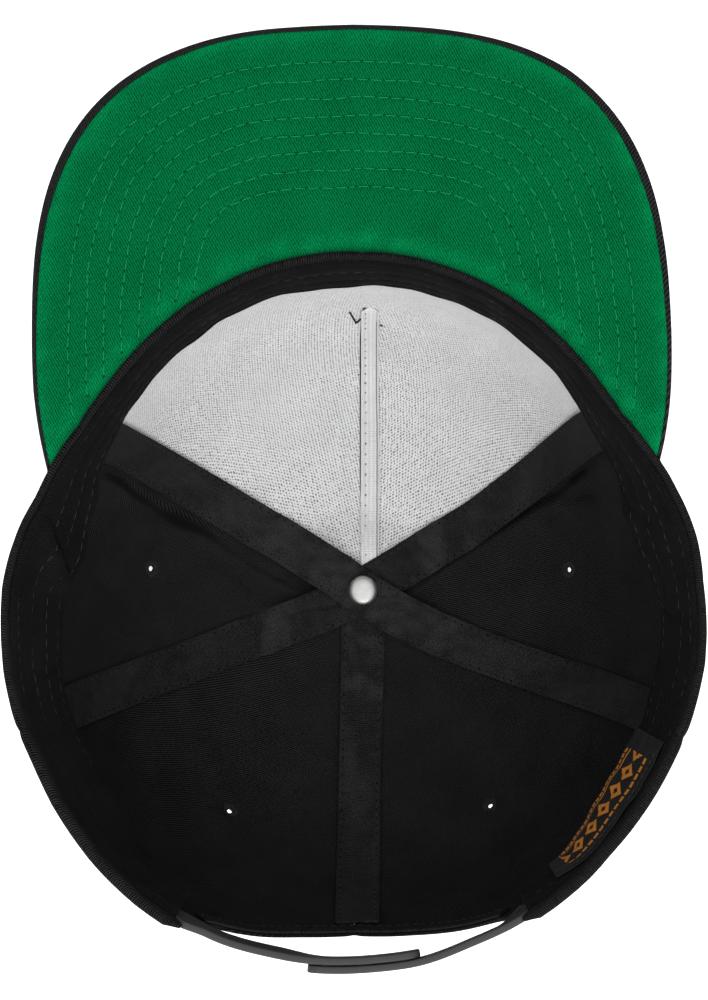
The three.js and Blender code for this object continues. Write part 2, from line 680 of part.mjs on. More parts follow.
// Covered button outside with its stem, and the rivet cap inside
function addButton() {
  const radius = buttonDiameter / 2;
  const top = buttonHeight - clearance;
  const stem = stemDiameter / 2;
  const stack = buttonHeight + lining + tapeBunch + 3 * tapeStep;
  const stemTop = stack - clearance;
  add('top_button', lathe([[0, 0], [radius * 0.5, 0], [radius * 0.82, top * 0.15], [radius, top * 0.5],
    [radius * 0.95, top * 0.85], [radius * 0.8, top], [stem, top], [stem, stemTop], [0, stemTop]]), blackTwill);
  const half = rivetDiameter / 2;
  add('rivet', lathe([[0, stack], [half * 0.94, stack], [half, stack + rivetHeight * 0.2],
    [half * 0.86, stack + rivetHeight * 0.62], [half * 0.55, stack + rivetHeight * 0.9], [0, stack + rivetHeight]]), nickel);
}

addPanels();
addEyelets();
addBuckram();
addTapes();
addFrontStrip();
addSweatband();
addLabel();
addBinding();
addVisor();
addStraps();
addButton();

// Origin under the middle of the cap, on the surface it lies on
const box = new THREE.Box3().setFromObject(cap);
const middle = box.getCenter(new THREE.Vector3());
cap.position.set(-middle.x, -middle.y, -box.min.z);

export default cap;
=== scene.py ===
import math
import bpy
import numpy as np
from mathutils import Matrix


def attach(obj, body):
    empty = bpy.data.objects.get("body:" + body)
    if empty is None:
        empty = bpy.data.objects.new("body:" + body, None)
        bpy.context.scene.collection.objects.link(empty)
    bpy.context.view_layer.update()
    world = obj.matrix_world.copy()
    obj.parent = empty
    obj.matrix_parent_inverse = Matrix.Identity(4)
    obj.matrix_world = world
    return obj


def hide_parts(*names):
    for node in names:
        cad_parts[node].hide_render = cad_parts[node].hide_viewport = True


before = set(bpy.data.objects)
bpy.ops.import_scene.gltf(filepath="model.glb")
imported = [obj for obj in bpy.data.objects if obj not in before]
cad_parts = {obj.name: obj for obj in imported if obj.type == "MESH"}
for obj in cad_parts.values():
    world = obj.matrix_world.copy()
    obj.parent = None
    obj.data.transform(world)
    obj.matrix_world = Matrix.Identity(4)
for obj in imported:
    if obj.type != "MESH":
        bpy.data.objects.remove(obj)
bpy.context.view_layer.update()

# Snapback cap lying upside down on its crown. Lengths are millimetres and angles degrees until a mesh is
# made. Azimuths run from the visor (+Y) towards the wearer's left (+X), about the crown's middle.
crownMiddle = np.array([0.006, -27.534, 0.0])  # of the crown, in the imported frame

cameraPlace = dict(
    pictureHeight=290.0,  # covered at the rim's height
    aboveRim=1000.0,
    rimHeight=105.0,
    over=(0.006, 1.566),
    sensor=36.0,
)

studio = dict(
    floorColour="#E9E9E7",
    floorCloud="#E4E4E2",
    floorHalf=4.0,
    floorLevel=-0.0003,
    floorGlow=0.74,  # the floor stays near white under the cap, as on a light table
    skyColour="#F6F6F6",
    skyStrength=0.79,
    keyPower=32.0,
    keySize=1.3,
    keyFrom=(0.15, -1.5, 1.35),
    topPower=24.0,
    topSize=2.4,
    topFrom=(0.0, 0.15, 2.3),
    aim=(0.0, 0.0, 0.05),
)


def linear(hexColour):
    channels = [int(hexColour[k:k + 2], 16) / 255 for k in (1, 3, 5)]
    return tuple(c / 12.92 if c <= 0.04045 else ((c + 0.055) / 1.055) ** 2.4 for c in channels) + (1.0,)


# Adds a node with its settings. Inputs are values, hex colours, or the nodes and sockets that feed them.
def addNode(tree, kind, inputs=None, **settings):
    made = tree.nodes.new("ShaderNode" + kind)
    for key, value in settings.items():
        setattr(made, key, value)
    for key, value in (inputs or {}).items():
        if isinstance(value, str):
            value = linear(value)
        if isinstance(value, bpy.types.Node):
            value = next(output for output in value.outputs if output.enabled)
        if isinstance(value, bpy.types.NodeSocket):
            tree.links.new(value, made.inputs[key])
        else:
            made.inputs[key].default_value = value
    return made


def startMaterial(name, surface):
    material = bpy.data.materials.new(name)
    material.use_nodes = True
    tree = material.node_tree
    tree.nodes.clear()
    shader = addNode(tree, "BsdfPrincipled", surface)
    addNode(tree, "OutputMaterial", {"Surface": shader})
    return material, tree, shader


def aimFrom(thing, place, target):
    thing.location = place
    away = np.array(place) - np.array(target)
    flat = math.hypot(away[0], away[1])
    thing.rotation_euler = (math.atan2(flat, away[2]), 0.0, math.atan2(away[0], -away[1]))


def makeCamera():
    lens = cameraPlace["sensor"] * cameraPlace["aboveRim"] / cameraPlace["pictureHeight"]
    data = bpy.data.cameras.new("overhead")
    data.sensor_fit = "VERTICAL"
    data.sensor_height = cameraPlace["sensor"]
    data.lens = lens
    data.clip_end = 20.0
    camera = bpy.data.objects.new("overhead", data)
    bpy.context.collection.objects.link(camera)
    x, y = cameraPlace["over"]
    camera.location = (x / 1000, y / 1000, (cameraPlace["rimHeight"] + cameraPlace["aboveRim"]) / 1000)
    bpy.context.scene.camera = camera


def makeStudio():
    for name in ("key", "top"):
        data = bpy.data.lights.new(name, "AREA")
        data.energy = studio[name + "Power"]
        data.size = studio[name + "Size"]
        light = bpy.data.objects.new(name, data)
        bpy.context.collection.objects.link(light)
        aimFrom(light, studio[name + "From"], studio["aim"])
    world = bpy.data.worlds.new("softSky")
    world.use_nodes = True
    back = world.node_tree.nodes["Background"]
    back.inputs["Color"].default_value = linear(studio["skyColour"])
    back.inputs["Strength"].default_value = studio["skyStrength"]
    bpy.context.scene.world = world
    bpy.context.scene.view_settings.view_transform = "Standard"

    half, level = studio["floorHalf"], studio["floorLevel"]
    mesh = bpy.data.meshes.new("floor")
    corners = [(x * half, y * half, level) for x, y in ((-1, -1), (1, -1), (1, 1), (-1, 1))]
    mesh.from_pydata(corners, [], [(0, 1, 2, 3)])
    floor = bpy.data.objects.new("floor", mesh)
    bpy.context.collection.objects.link(floor)
    # Matt paper: smooth and even, with the faintest cloudiness
    material, tree, shader = startMaterial("matteBackdropPaper", {
        "Roughness": 0.9, "Emission Strength": studio["floorGlow"], "Emission Color": "#FFFFFF"})
    cloud = addNode(tree, "TexNoise", {"Scale": 3.0, "Detail": 2.0})
    tone = addNode(tree, "Mix", {0: cloud, 6: studio["floorCloud"], 7: studio["floorColour"]}, data_type="RGBA")
    tree.links.new(tone.outputs[2], shader.inputs["Base Color"])
    mesh.materials.append(material)


makeCamera()
makeStudio()
print("camera and studio ready")


def lerp(a, b, t):
    return a + (b - a) * t


def smoothStep(value, low, high):
    t = np.clip((value - low) / (high - low), 0, 1)
    return t * t * (3 - 2 * t)


def unit(vectors):
    return vectors / np.maximum(np.linalg.norm(vectors, axis=-1, keepdims=True), 1e-12)


def bump(value, width):
    return np.exp(-(value / width) ** 2)


# Sum of seeded sine waves over two coordinates, about -1 to 1
def ripple(a, b, seed, size, count=7):
    chance = np.random.default_rng(seed)
    total = 0.0
    for _ in range(count):
        turn = chance.uniform(0, 2 * math.pi)
        step = 2 * math.pi / (size * chance.uniform(0.7, 1.6))
        total = total + np.sin((a * math.cos(turn) + b * math.sin(turn)) * step + chance.uniform(0, 6.28))
    return total / math.sqrt(count)


# Values from low to high, packed close near both ends so that an edge can be rounded
def edged(low, high, steps, reach, ends=(True, True)):
    inner = np.linspace(low, high, steps + 1)
    sign = 1 if high > low else -1
    shares = np.array([0.0, 0.12, 0.35, 0.65, 1.0]) * reach * sign
    parts = [low + shares if ends[0] else [low], high - shares if ends[1] else [high]]
    middle = inner[(np.abs(inner - low) > reach * 1.15 * ends[0]) & (np.abs(inner - high) > reach * 1.15 * ends[1])]
    return np.unique(np.concatenate([parts[0], middle, parts[1]]))[::sign]


# Half-round edge: 1 inside, falling to 0 at the edge within the given reach
def roundedEdge(distance, reach):
    inside = np.clip(distance / reach, 0, 1)
    return np.sqrt(np.clip(1 - (1 - inside) ** 2, 0, 1))


def makePiece(name, points, faces, material, uvs=None, nodes=(), smoothAngle=None):
    mesh = bpy.data.meshes.new(name)
    place = (np.asarray(points, float).reshape(-1, 3) + crownMiddle) / 1000
    mesh.from_pydata(place.tolist(), [], [list(face) for face in faces])
    if uvs is not None:
        layer = mesh.uv_layers.new(name="cloth")
        corners = np.empty(len(mesh.loops), np.int32)
        mesh.loops.foreach_get("vertex_index", corners)
        layer.data.foreach_set("uv", np.asarray(uvs, float).reshape(-1, 2)[corners].astype(np.float32).ravel())
    mesh.polygons.foreach_set("use_smooth", np.ones(len(mesh.polygons), bool))
    if smoothAngle is not None:
        mesh.set_sharp_from_angle(angle=math.radians(smoothAngle))
    for one in material if isinstance(material, list) else [material]:
        mesh.materials.append(one)
    mesh.update()
    piece = bpy.data.objects.new(name, mesh)
    bpy.context.collection.objects.link(piece)
    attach(piece, "root")
    if nodes:
        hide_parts(*nodes)
    return piece


def gridQuads(rows, columns, start=0):
    i, j = np.meshgrid(np.arange(rows - 1), np.arange(columns - 1), indexing="ij")
    a = (i * columns + j).ravel() + start
    return np.stack([a, a + columns, a + columns + 1, a + 1], axis=1)


def signedVolume(points, quads):
    a, b, c, d = (points[quads[:, k]] for k in range(4))
    return float((np.einsum("ij,ij->i", a, np.cross(b, c)) + np.einsum("ij,ij->i", a, np.cross(c, d))).sum())


# Closed sheet from the two faces of a grid, each rows x columns x 3. A hole is a centre, an axis and a radius.
def makeSheet(name, faceA, faceB, uvs, material, nodes=(), wearAndPaintedLight=None, holes=()):
    rows, columns = faceA.shape[:2]
    count = rows * columns
    quads = gridQuads(rows, columns)
    points = np.concatenate([faceA.reshape(-1, 3), faceB.reshape(-1, 3)])
    laid = uvs.reshape(-1, 2).copy()
    for centre, axis, radius in holes:
        offset = (points[:count] + points[count:]) / 2 - centre
        flat = offset - (offset @ axis)[:, None] * axis
        away = np.linalg.norm(flat, axis=1)
        inside = (away < radius) & (np.abs(offset @ axis) < 3 * radius)
        cut = inside[quads].any(axis=1)
        edge = np.setdiff1d(quads[cut], np.flatnonzero(inside))
        quads = quads[~cut]
        pull = (radius / away[edge] - 1)[:, None]
        points[edge] += flat[edge] * pull
        points[edge + count] += flat[edge] * pull
        laid[edge] += (laid[edge] - laid[inside].mean(axis=0)) * pull
    sides = np.concatenate([quads[:, [k, (k + 1) % 4]] for k in range(4)])
    free = ~np.isin(sides[:, 1] * count + sides[:, 0], sides[:, 0] * count + sides[:, 1])
    p, q = sides[free].T
    quads = np.concatenate([quads, quads[:, ::-1] + count, np.stack([q, p, p + count, q + count], axis=1)])
    used, corners = np.unique(quads, return_inverse=True)
    quads, points = corners.reshape(-1, 4), points[used]
    if signedVolume(points, quads) < 0:
        quads = quads[:, ::-1]
    both = np.concatenate([laid, laid])[used]
    piece = makePiece(name, points, quads.tolist(), material, both, nodes)
    # A per-point value for the finish: it holds real wear and fading, and also painted highlight and painted shade
    if wearAndPaintedLight is not None:
        layer = piece.data.attributes.new("wearAndPaintedLight", "FLOAT", "POINT")
        layer.data.foreach_set("value", np.tile(wearAndPaintedLight.ravel(), 2)[used].astype(np.float32))
    return piece


# Solid of revolution about an axis, from a profile of radius and height that starts and ends on it or is a ring
def turned(profile, sides, centre, axis, ring=False, ridge=None):
    axis = np.asarray(axis, float) / np.linalg.norm(axis)
    side = np.cross(axis, [0, 1, 0] if abs(axis[1]) < 0.9 else [1, 0, 0])
    side /= np.linalg.norm(side)
    other = np.cross(axis, side)
    angles = np.linspace(0, 2 * math.pi, sides, endpoint=False)
    profile = np.asarray(profile, float)
    radius = np.repeat(profile[:, :1], sides, axis=1)
    height = np.repeat(profile[:, 1:], sides, axis=1)
    if ridge is not None:
        radius, height = ridge(radius, height, angles[None, :])
    spoke = np.cos(angles)[:, None] * side + np.sin(angles)[:, None] * other
    points = np.asarray(centre) + radius[..., None] * spoke[None] + height[..., None] * axis
    count = len(profile)
    quads = []
    for k in range(count if ring else count - 1):
        a = k * sides + np.arange(sides)
        b = ((k + 1) % count) * sides + np.arange(sides)
        quads.append(np.stack([a, np.roll(a, -1), np.roll(b, -1), b], axis=1))
    uvs = np.stack([np.broadcast_to(angles * profile[:, :1].max(), radius.shape),
                    np.broadcast_to(np.cumsum(np.r_[0, np.linalg.norm(np.diff(profile, axis=0), axis=1)])[:, None],
                                    radius.shape)], axis=-1)
    return points.reshape(-1, 3), np.concatenate(quads), uvs.reshape(-1, 2)


# Millimetres per degree round the rim, and round the sweatband's free edge
rimPerDegree, bandPerDegree = 1.7, 1.6

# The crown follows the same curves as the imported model
crown = dict(
    rimWidth=204.2, rimLength=210.0, height=105.0, wall=30.0, buttonShift=2.2, buttonRise=5.0,
    dimpleInner=12.0, dimpleOuter=27.0, archHalf=28.0, archHeight=48.0, stemHole=2.45,
    seams=dict(front=1.3, frontLeft=55.3, rearLeft=112.7, back=180.0, rearRight=-111.4, frontRight=-57.8),
)

# Azimuth, rim as a share of its ellipse, wall foot and flattened top as shares of the rim's radius
sections = np.array([
    [0, 0.968, 0.962, 0.53], [25, 0.953, 0.965, 0.51], [48, 0.925, 0.97, 0.46], [58, 0.925, 0.97, 0.43],
    [70, 0.951, 0.962, 0.4], [80, 0.982, 0.952, 0.385], [90, 0.998, 0.942, 0.375], [105, 1.015, 0.94, 0.36],
    [120, 1.02, 0.945, 0.35], [140, 1.033, 0.975, 0.34], [160, 1.036, 0.975, 0.33], [180, 1.032, 0.97, 0.33]])

# How far the worn rim lies outside the even ellipse, by azimuth
rimPush = np.array([
    [-180, 0.1], [-172, 0.6], [-160, 1.4], [-150, 1.6], [-136, 1.3], [-124, 1.1], [-116, 0.6], [-108, 0.8],
    [-98, 0.7], [-88, 1.0], [-80, 0.0], [-72, -0.6], [-64, 0.2], [-50, 0.0], [0, 0.0], [54, 0.2], [62, 1.2],
    [68, 1.8], [73, 1.8], [80, 1.1], [87, 0.2], [100, 0.7], [108, 0.3], [116, -0.1], [124, -0.5], [134, -1.4],
    [144, -0.8], [152, -0.6], [160, -0.2], [172, 0.1], [180, 0.1]])


# Stretch runs from 0 at the button to 1 at the flattened top's edge, 2 at the wall's foot and 3 at the rim

# Azimuth, stretch, half-width in degrees, half-length in stretch, depth
dents = [(-68, 1.75, 7, 0.3, 2.73), (72, 1.7, 8, 0.3, 2.1), (-135, 1.8, 14, 0.35, 1.47), (140, 1.7, 12, 0.3, 1.47),
         (-165, 1.8, 16, 0.3, -1.3), (170, 1.8, 14, 0.3, -0.6)]

wallFoot = crown["height"] - crown["wall"]


def wrapped(azimuth):
    return (azimuth + 180) % 360 - 180


def pushAt(azimuth, stretch):
    return np.interp(wrapped(azimuth), rimPush[:, 0], rimPush[:, 1]) * smoothStep(stretch, 1.3, 2.5)


def shareAt(column, azimuth):
    known = sections[:, 0]
    values = sections[:, column]
    slopes = np.zeros(len(known))
    slopes[1:-1] = (values[2:] - values[:-2]) / (known[2:] - known[:-2])
    folded = np.abs(wrapped(azimuth))
    k = np.clip(np.searchsorted(known, folded) - 1, 0, len(known) - 2)
    span = known[k + 1] - known[k]
    t = (folded - known[k]) / span
    return ((2 * t ** 3 - 3 * t ** 2 + 1) * values[k] + (t ** 3 - 2 * t ** 2 + t) * span * slopes[k]
            + (3 * t ** 2 - 2 * t ** 3) * values[k + 1] + (t ** 3 - t ** 2) * span * slopes[k + 1])


def rimRadius(azimuth):
    turn = np.radians(azimuth)
    return shareAt(1, azimuth) / np.hypot(np.sin(turn) * 2 / crown["rimWidth"], np.cos(turn) * 2 / crown["rimLength"])


def flatRadius(azimuth):
    return rimRadius(azimuth) * shareAt(3, azimuth)


def dimple(radius):
    return crown["buttonRise"] * (1 - smoothStep(radius, crown["dimpleInner"], crown["dimpleOuter"]))


def meridian(azimuth, stretch):
    azimuth, stretch = np.broadcast_arrays(np.asarray(azimuth, float), np.asarray(stretch, float))
    rim = rimRadius(azimuth)
    foot = rim * shareAt(2, azimuth)
    flat = flatRadius(azimuth)
    dent = sum(depth * np.exp(-(wrapped(azimuth - at) / spread) ** 2 - ((stretch - where) / reach) ** 2)
               for at, where, spread, reach, depth in dents)
    turn = np.clip(stretch - 1, 0, 1) * math.pi / 2
    rise = np.clip(stretch - 2, 0, 1)
    shoulder = flat + (foot - flat) * np.sin(turn) - dent * np.clip((stretch - 1) * 4, 0, 1)
    wall = foot + (rim - foot) * rise ** 1.4 - dent * (1 - rise)
    radius = np.where(stretch <= 1, flat * stretch, np.where(stretch <= 2, shoulder, wall)) + pushAt(azimuth, stretch)
    height = np.where(stretch <= 1, 0.0, np.where(stretch <= 2, wallFoot * (1 - np.cos(turn)),
                                                  wallFoot + crown["wall"] * rise))
    return radius, height, rim


def crownPlace(azimuth, stretch):
    radius, height, rim = meridian(azimuth, stretch)
    lift = np.where(np.asarray(stretch) <= 1, dimple(radius), 0.0)
    turn = np.radians(azimuth)
    x = crown["buttonShift"] * (1 - radius / rim) + radius * np.sin(turn)
    return np.stack(np.broadcast_arrays(x, radius * np.cos(turn), height + lift), axis=-1)


def inward(azimuth, stretch):
    azimuth, stretch = np.broadcast_arrays(np.asarray(azimuth, float), np.asarray(stretch, float))
    up = crownPlace(azimuth, np.minimum(3, stretch + 0.01)) - crownPlace(azimuth, stretch - 0.01)
    around = crownPlace(azimuth + 1, stretch) - crownPlace(azimuth - 1, stretch)
    slanted = unit(np.cross(around, up))
    return np.where((stretch <= 1)[..., None], np.array([0.0, 0.0, 1.0]), slanted)


# Soft unevenness that every layer of the crown shares: none below the floor, little at the rim
slackness = dict(broad=0.9, broadSize=46.0, fine=0.3, fineSize=17.0, flat=0.3)


def slackAt(place, stretch):
    x, y = place[..., 0], place[..., 1]
    shape = slackness["broad"] * ripple(x, y, 11, slackness["broadSize"]) \
        + slackness["fine"] * ripple(x, y, 12, slackness["fineSize"])
    onFloor = slackness["flat"] * (1 + ripple(x, y, 13, 24.0)) / 2
    fade = smoothStep(stretch, 1.05, 1.3) * (1 - 0.9 * smoothStep(stretch, 1.55, 1.95))
    return shape * fade + np.clip(onFloor, 0, 1) * (1 - smoothStep(stretch, 1.0, 1.25))


def crownPoint(azimuth, stretch, inset):
    place = crownPlace(azimuth, stretch)
    normal = inward(azimuth, stretch)
    return place + normal * (inset + slackAt(place, np.asarray(stretch, float)))[..., None]


# Height of folds over a plane: each fold is a line with a sharp valley and a soft ridge on its left-hand side
def foldsAt(x, y, folds):
    total = np.zeros(np.shape(x))
    for fold in folds:
        line = np.array(fold["line"], float)
        steps = np.diff(line, axis=0)
        lengths = np.linalg.norm(steps, axis=1)
        starts = np.r_[0, np.cumsum(lengths)]
        best = np.full(np.shape(x), 1e9)
        side = np.zeros(np.shape(x))
        along = np.zeros(np.shape(x))
        for k in range(len(steps)):
            dx, dy = x - line[k, 0], y - line[k, 1]
            t = np.clip((dx * steps[k, 0] + dy * steps[k, 1]) / lengths[k] ** 2, 0, 1)
            away = np.hypot(dx - t * steps[k, 0], dy - t * steps[k, 1])
            nearer = away < best
            best = np.where(nearer, away, best)
            side = np.where(nearer, np.sign(steps[k, 0] * dy - steps[k, 1] * dx), side)
            along = np.where(nearer, starts[k] + t * lengths[k], along)
        soft = min(fold.get("soft", 8.0), starts[-1] / 2)
        ends = smoothStep(along, -0.3 * soft, soft) * smoothStep(starts[-1] - along, -0.3 * soft, soft)
        ridge = fold.get("ridge", 0.0) * bump(side * best - fold.get("offset", 3.0), fold.get("spread", 2.5))
        total = total + ends * (ridge - fold["sink"] * bump(best, fold["width"]))
    return total


def stretchAtHeight(height):
    height = np.asarray(height, float)
    low = 1 + np.arccos(np.clip(1 - height / wallFoot, -1, 1)) / (math.pi / 2)
    return np.where(height >= wallFoot, 2 + (height - wallFoot) / crown["wall"], low)


def clothTop(azimuth):
    fromBack = np.clip((180 - np.abs(azimuth)) / crown["archHalf"], 0, 1)
    drop = crown["archHeight"] * np.sqrt(1 - fromBack ** 2)
    return stretchAtHeight(crown["height"] - drop)


def arcAlong(grid, axis):
    steps = np.linalg.norm(np.diff(grid, axis=axis), axis=-1)
    start = np.zeros_like(np.take(steps, [0], axis=axis))
    return np.concatenate([start, np.cumsum(steps, axis=axis)], axis=axis)


# Where a point lies on its flat-cut panel: across from the panel's middle line, and down from the button
def cutCoordinates(azimuth, stretch, middle):
    columns = azimuth[:, -1]
    dense = np.linspace(0, 3, 160)
    radius, height, _ = meridian(columns[:, None], dense[None, :])
    run = np.concatenate([0 * radius[:, :1], np.cumsum(np.hypot(np.diff(radius, axis=1), np.diff(height, axis=1)),
                                                       axis=1)], axis=1)
    down = np.stack([np.interp(stretch[k], dense, run[k]) for k in range(len(columns))])
    across = np.radians(azimuth - middle) * meridian(azimuth, stretch)[0]
    return np.stack([across, down], axis=-1)


def turnedUvs(uvs, degrees):
    turn = math.radians(degrees)
    return np.stack([uvs[..., 0] * math.cos(turn) + uvs[..., 1] * math.sin(turn),
                     uvs[..., 1] * math.cos(turn) - uvs[..., 0] * math.sin(turn)], axis=-1)


# Finishes: each starts from the real yarn, plastic or metal, and its pattern from spacings in millimetres

# Waves over a pattern, from their spacing along it and across it, bent by a drift
def waves(tree, place, spacing, drift=None, bend=0.0, shape="SINE"):
    turns = [2 * math.pi / step if step else 0 for step in spacing]
    phase = addNode(tree, "VectorMath", {0: place, 1: (*turns, 0)}, operation="DOT_PRODUCT")
    if drift is not None:
        phase = addNode(tree, "Math", {0: drift, 1: bend, 2: phase}, operation="MULTIPLY_ADD")
    return addNode(tree, "Math", {0: phase}, operation=shape)


# Colour between two tones, and the relief under it
def colourAndRelief(tree, shader, share, shade, light, height=None, depth=0.0, strength=1.0, clamped=True):
    colour = addNode(tree, "Mix", {0: share, 6: shade, 7: light}, data_type="RGBA", clamp_factor=clamped)
    tree.links.new(colour.outputs[2], shader.inputs["Base Color"])
    if height is not None:
        relief = addNode(tree, "Bump", {"Strength": strength, "Distance": depth / 1000, "Height": height})
        tree.links.new(relief.outputs[0], shader.inputs["Normal"])


def startCloth(name, cloth, sheenRoughness):
    return startMaterial(name, {
        "Roughness": cloth["roughness"], "Specular IOR Level": cloth["gloss"], "Sheen Weight": cloth["sheen"],
        "Sheen Roughness": sheenRoughness, "Sheen Tint": cloth["fuzz"]})


# Tone of a cloth over its weave: a per-point value above 0 lightens it and below 0 darkens it, broken up by a noise.
# The value is partly real wear, which bares light fibre, and partly painted highlight and painted shade
def wornAndLitTone(tree, shader, cloth, tone, middle, noise, weave, lift):
    share = addNode(tree, "MapRange", {"Value": tone, "From Min": middle - cloth["span"],
                                       "From Max": middle + cloth["span"]})
    wornAndLit = addNode(tree, "Attribute", attribute_name="wearAndPaintedLight").outputs["Fac"]
    wornAndLitShare = addNode(tree, "Math", {0: wornAndLit, 1: noise, 2: share}, operation="MULTIPLY_ADD")
    raised = addNode(tree, "Math", {0: noise, 1: lift, 2: weave}, operation="MULTIPLY_ADD")
    colourAndRelief(tree, shader, wornAndLitShare, cloth["shade"], cloth["yarn"], raised, cloth["relief"], clamped=False)


# Cotton twill: fine slanted ribs of soft matt yarn, each rib broken into short floats, with uneven yarns
def wovenTwill(name, cloth):
    material, tree, shader = startCloth(name, cloth, 0.45)
    place = addNode(tree, "UVMap", uv_map="cloth")
    byRib = addNode(tree, "VectorRotate", {"Vector": place, "Angle": -math.radians(cloth["ribAngle"])},
                    rotation_type="Z_AXIS")
    wander = addNode(tree, "TexNoise", {"Vector": place, "Scale": 0.35, "Detail": 3.0})
    rib = waves(tree, byRib, (0, cloth["ribPitch"]), wander, cloth["wander"])
    floats = waves(tree, place, (cloth["yarnPitch"], 0))
    weave = addNode(tree, "Math", {0: floats, 1: 0.4, 2: rib}, operation="MULTIPLY_ADD")
    # Single ribs lie lighter or darker for a few millimetres at a time
    stretched = addNode(tree, "VectorMath", {0: byRib, 1: (1.1, 1 / cloth["ribPitch"], 1)}, operation="MULTIPLY")
    slub = addNode(tree, "TexNoise", {"Vector": stretched, "Scale": 1.2, "Detail": 3.0, "Roughness": 0.6})
    cloud = addNode(tree, "TexNoise", {"Vector": place, "Scale": 0.06, "Detail": 4.0, "Roughness": 0.6})
    yarnTone = addNode(tree, "Math", {0: weave, 1: cloth["ribContrast"], 2: slub}, operation="MULTIPLY_ADD")
    tone = addNode(tree, "Math", {0: cloud, 1: cloth["cloudiness"], 2: yarnTone}, operation="MULTIPLY_ADD")
    wornAndLitTone(tree, shader, cloth, tone, 0.5 + cloth["cloudiness"] / 2, slub, weave, 1.2)
    return material


# Woven cotton tape: plain weave with fine ribs across its length, mottled all over. Where the tapes are creased, the
# per-point value lightens the crests as a painted highlight
def wovenTape(name, tape):
    material, tree, shader = startCloth(name, tape, 0.4)
    place = addNode(tree, "UVMap", uv_map="cloth")
    ribs = waves(tree, place, (0, tape["ribPitch"]))
    yarns = waves(tree, place, (tape["yarnPitch"], 0))
    weave = addNode(tree, "Math", {0: yarns, 1: tape["yarnShare"], 2: ribs}, operation="MULTIPLY_ADD")
    mottle = addNode(tree, "TexNoise", {"Vector": place, "Scale": 0.22, "Detail": 4.0, "Roughness": 0.65})
    grain = addNode(tree, "TexNoise", {"Vector": place, "Scale": 1.7, "Detail": 3.0, "Roughness": 0.8})
    patches = addNode(tree, "Math", {0: mottle, 1: tape["mottle"]}, operation="MULTIPLY")
    speckle = addNode(tree, "Math", {0: grain, 1: 1 - tape["mottle"], 2: patches}, operation="MULTIPLY_ADD")
    tone = addNode(tree, "Math", {0: weave, 1: tape["ribTone"], 2: speckle}, operation="MULTIPLY_ADD")
    wornAndLitTone(tree, shader, tape, tone, 0.5, grain, weave, 3.0)
    return material


# Buckram: open cotton weave stiffened with size, which leaves rows of pinholes between bright knots
def sizedBuckram(name, cloth):
    material, tree, shader = startMaterial(name, {
        "Roughness": 0.88, "Specular IOR Level": 0.2, "Sheen Weight": 0.05, "Sheen Roughness": 0.5})
    place = addNode(tree, "UVMap", uv_map="cloth")
    where = addNode(tree, "TexCoord").outputs["Object"]
    height = addNode(tree, "SeparateXYZ", {0: where}).outputs["Z"]
    wander = addNode(tree, "TexNoise", {"Vector": place, "Scale": 0.5, "Detail": 2.0})
    columns = waves(tree, place, (cloth["pitchAcross"], 0), wander, 5.0, "COSINE")
    rows = waves(tree, place, (0, 2 * cloth["pitchDown"]), wander, 3.0, "COSINE")
    knots = addNode(tree, "Math", {0: columns, 1: rows}, operation="MULTIPLY")
    uneven = addNode(tree, "TexNoise", {"Vector": place, "Scale": 0.8, "Detail": 4.0, "Roughness": 0.7})
    gaps = addNode(tree, "Math", {0: uneven, 1: cloth["unevenness"], 2: knots}, operation="MULTIPLY_ADD")
    middle = cloth["unevenness"] / 2 - 0.62
    hole = addNode(tree, "MapRange", {"Value": gaps, "From Min": middle + 0.3, "From Max": middle - 0.2})
    # On the steep cloth, seen at a slant, the pinholes close up
    steep = addNode(tree, "MapRange", {"Value": height, "From Min": 0.022, "From Max": 0.055,
                                       "To Min": 1.0, "To Max": 0.3})
    holeShare = addNode(tree, "Math", {0: hole, 1: steep}, operation="MULTIPLY")
    cloud = addNode(tree, "TexNoise", {"Vector": place, "Scale": 0.12, "Detail": 3.0})
    yarn = addNode(tree, "Mix", {0: cloud, 6: cloth["shade"], 7: cloth["yarn"]}, data_type="RGBA")
    colourAndRelief(tree, shader, holeShare, yarn, cloth["pinhole"], gaps, cloth["relief"])
    return material


# Spun polyester sewing thread: two plies twisted together, a dull gleam on each turn, partly from the gloss and
# partly a painted highlight, a lighter tone on every twist
def spunThread(name, thread):
    material, tree, shader = startMaterial(name, {
        "Roughness": thread["roughness"], "Specular IOR Level": thread["gloss"],
        "Sheen Weight": 0.15, "Sheen Roughness": 0.4, "Sheen Tint": thread["yarn"]})
    place = addNode(tree, "UVMap", uv_map="cloth")
    twist = waves(tree, place, (0.55, 1.2))
    fibres = addNode(tree, "TexNoise", {"Vector": place, "Scale": 4.0, "Detail": 2.0})
    tone = addNode(tree, "Math", {0: twist, 1: 0.22, 2: fibres}, operation="MULTIPLY_ADD")
    colourAndRelief(tree, shader, tone, thread["shade"], thread["yarn"], twist, 0.06, 0.8)
    return material


# Needle hole: painted shade of the pit the needle leaves, a dark lens with a trace of the cloth's colour
def needleHoleShade(name, pit):
    material, tree, shader = startMaterial(name, {"Roughness": 0.95, "Specular IOR Level": 0.05})
    place = addNode(tree, "TexCoord").outputs["Object"]
    shadeTrace = addNode(tree, "TexNoise", {"Vector": place, "Scale": 900.0, "Detail": 1.0})
    colourAndRelief(tree, shader, shadeTrace, pit["deep"], pit["shadeTrace"])
    return material


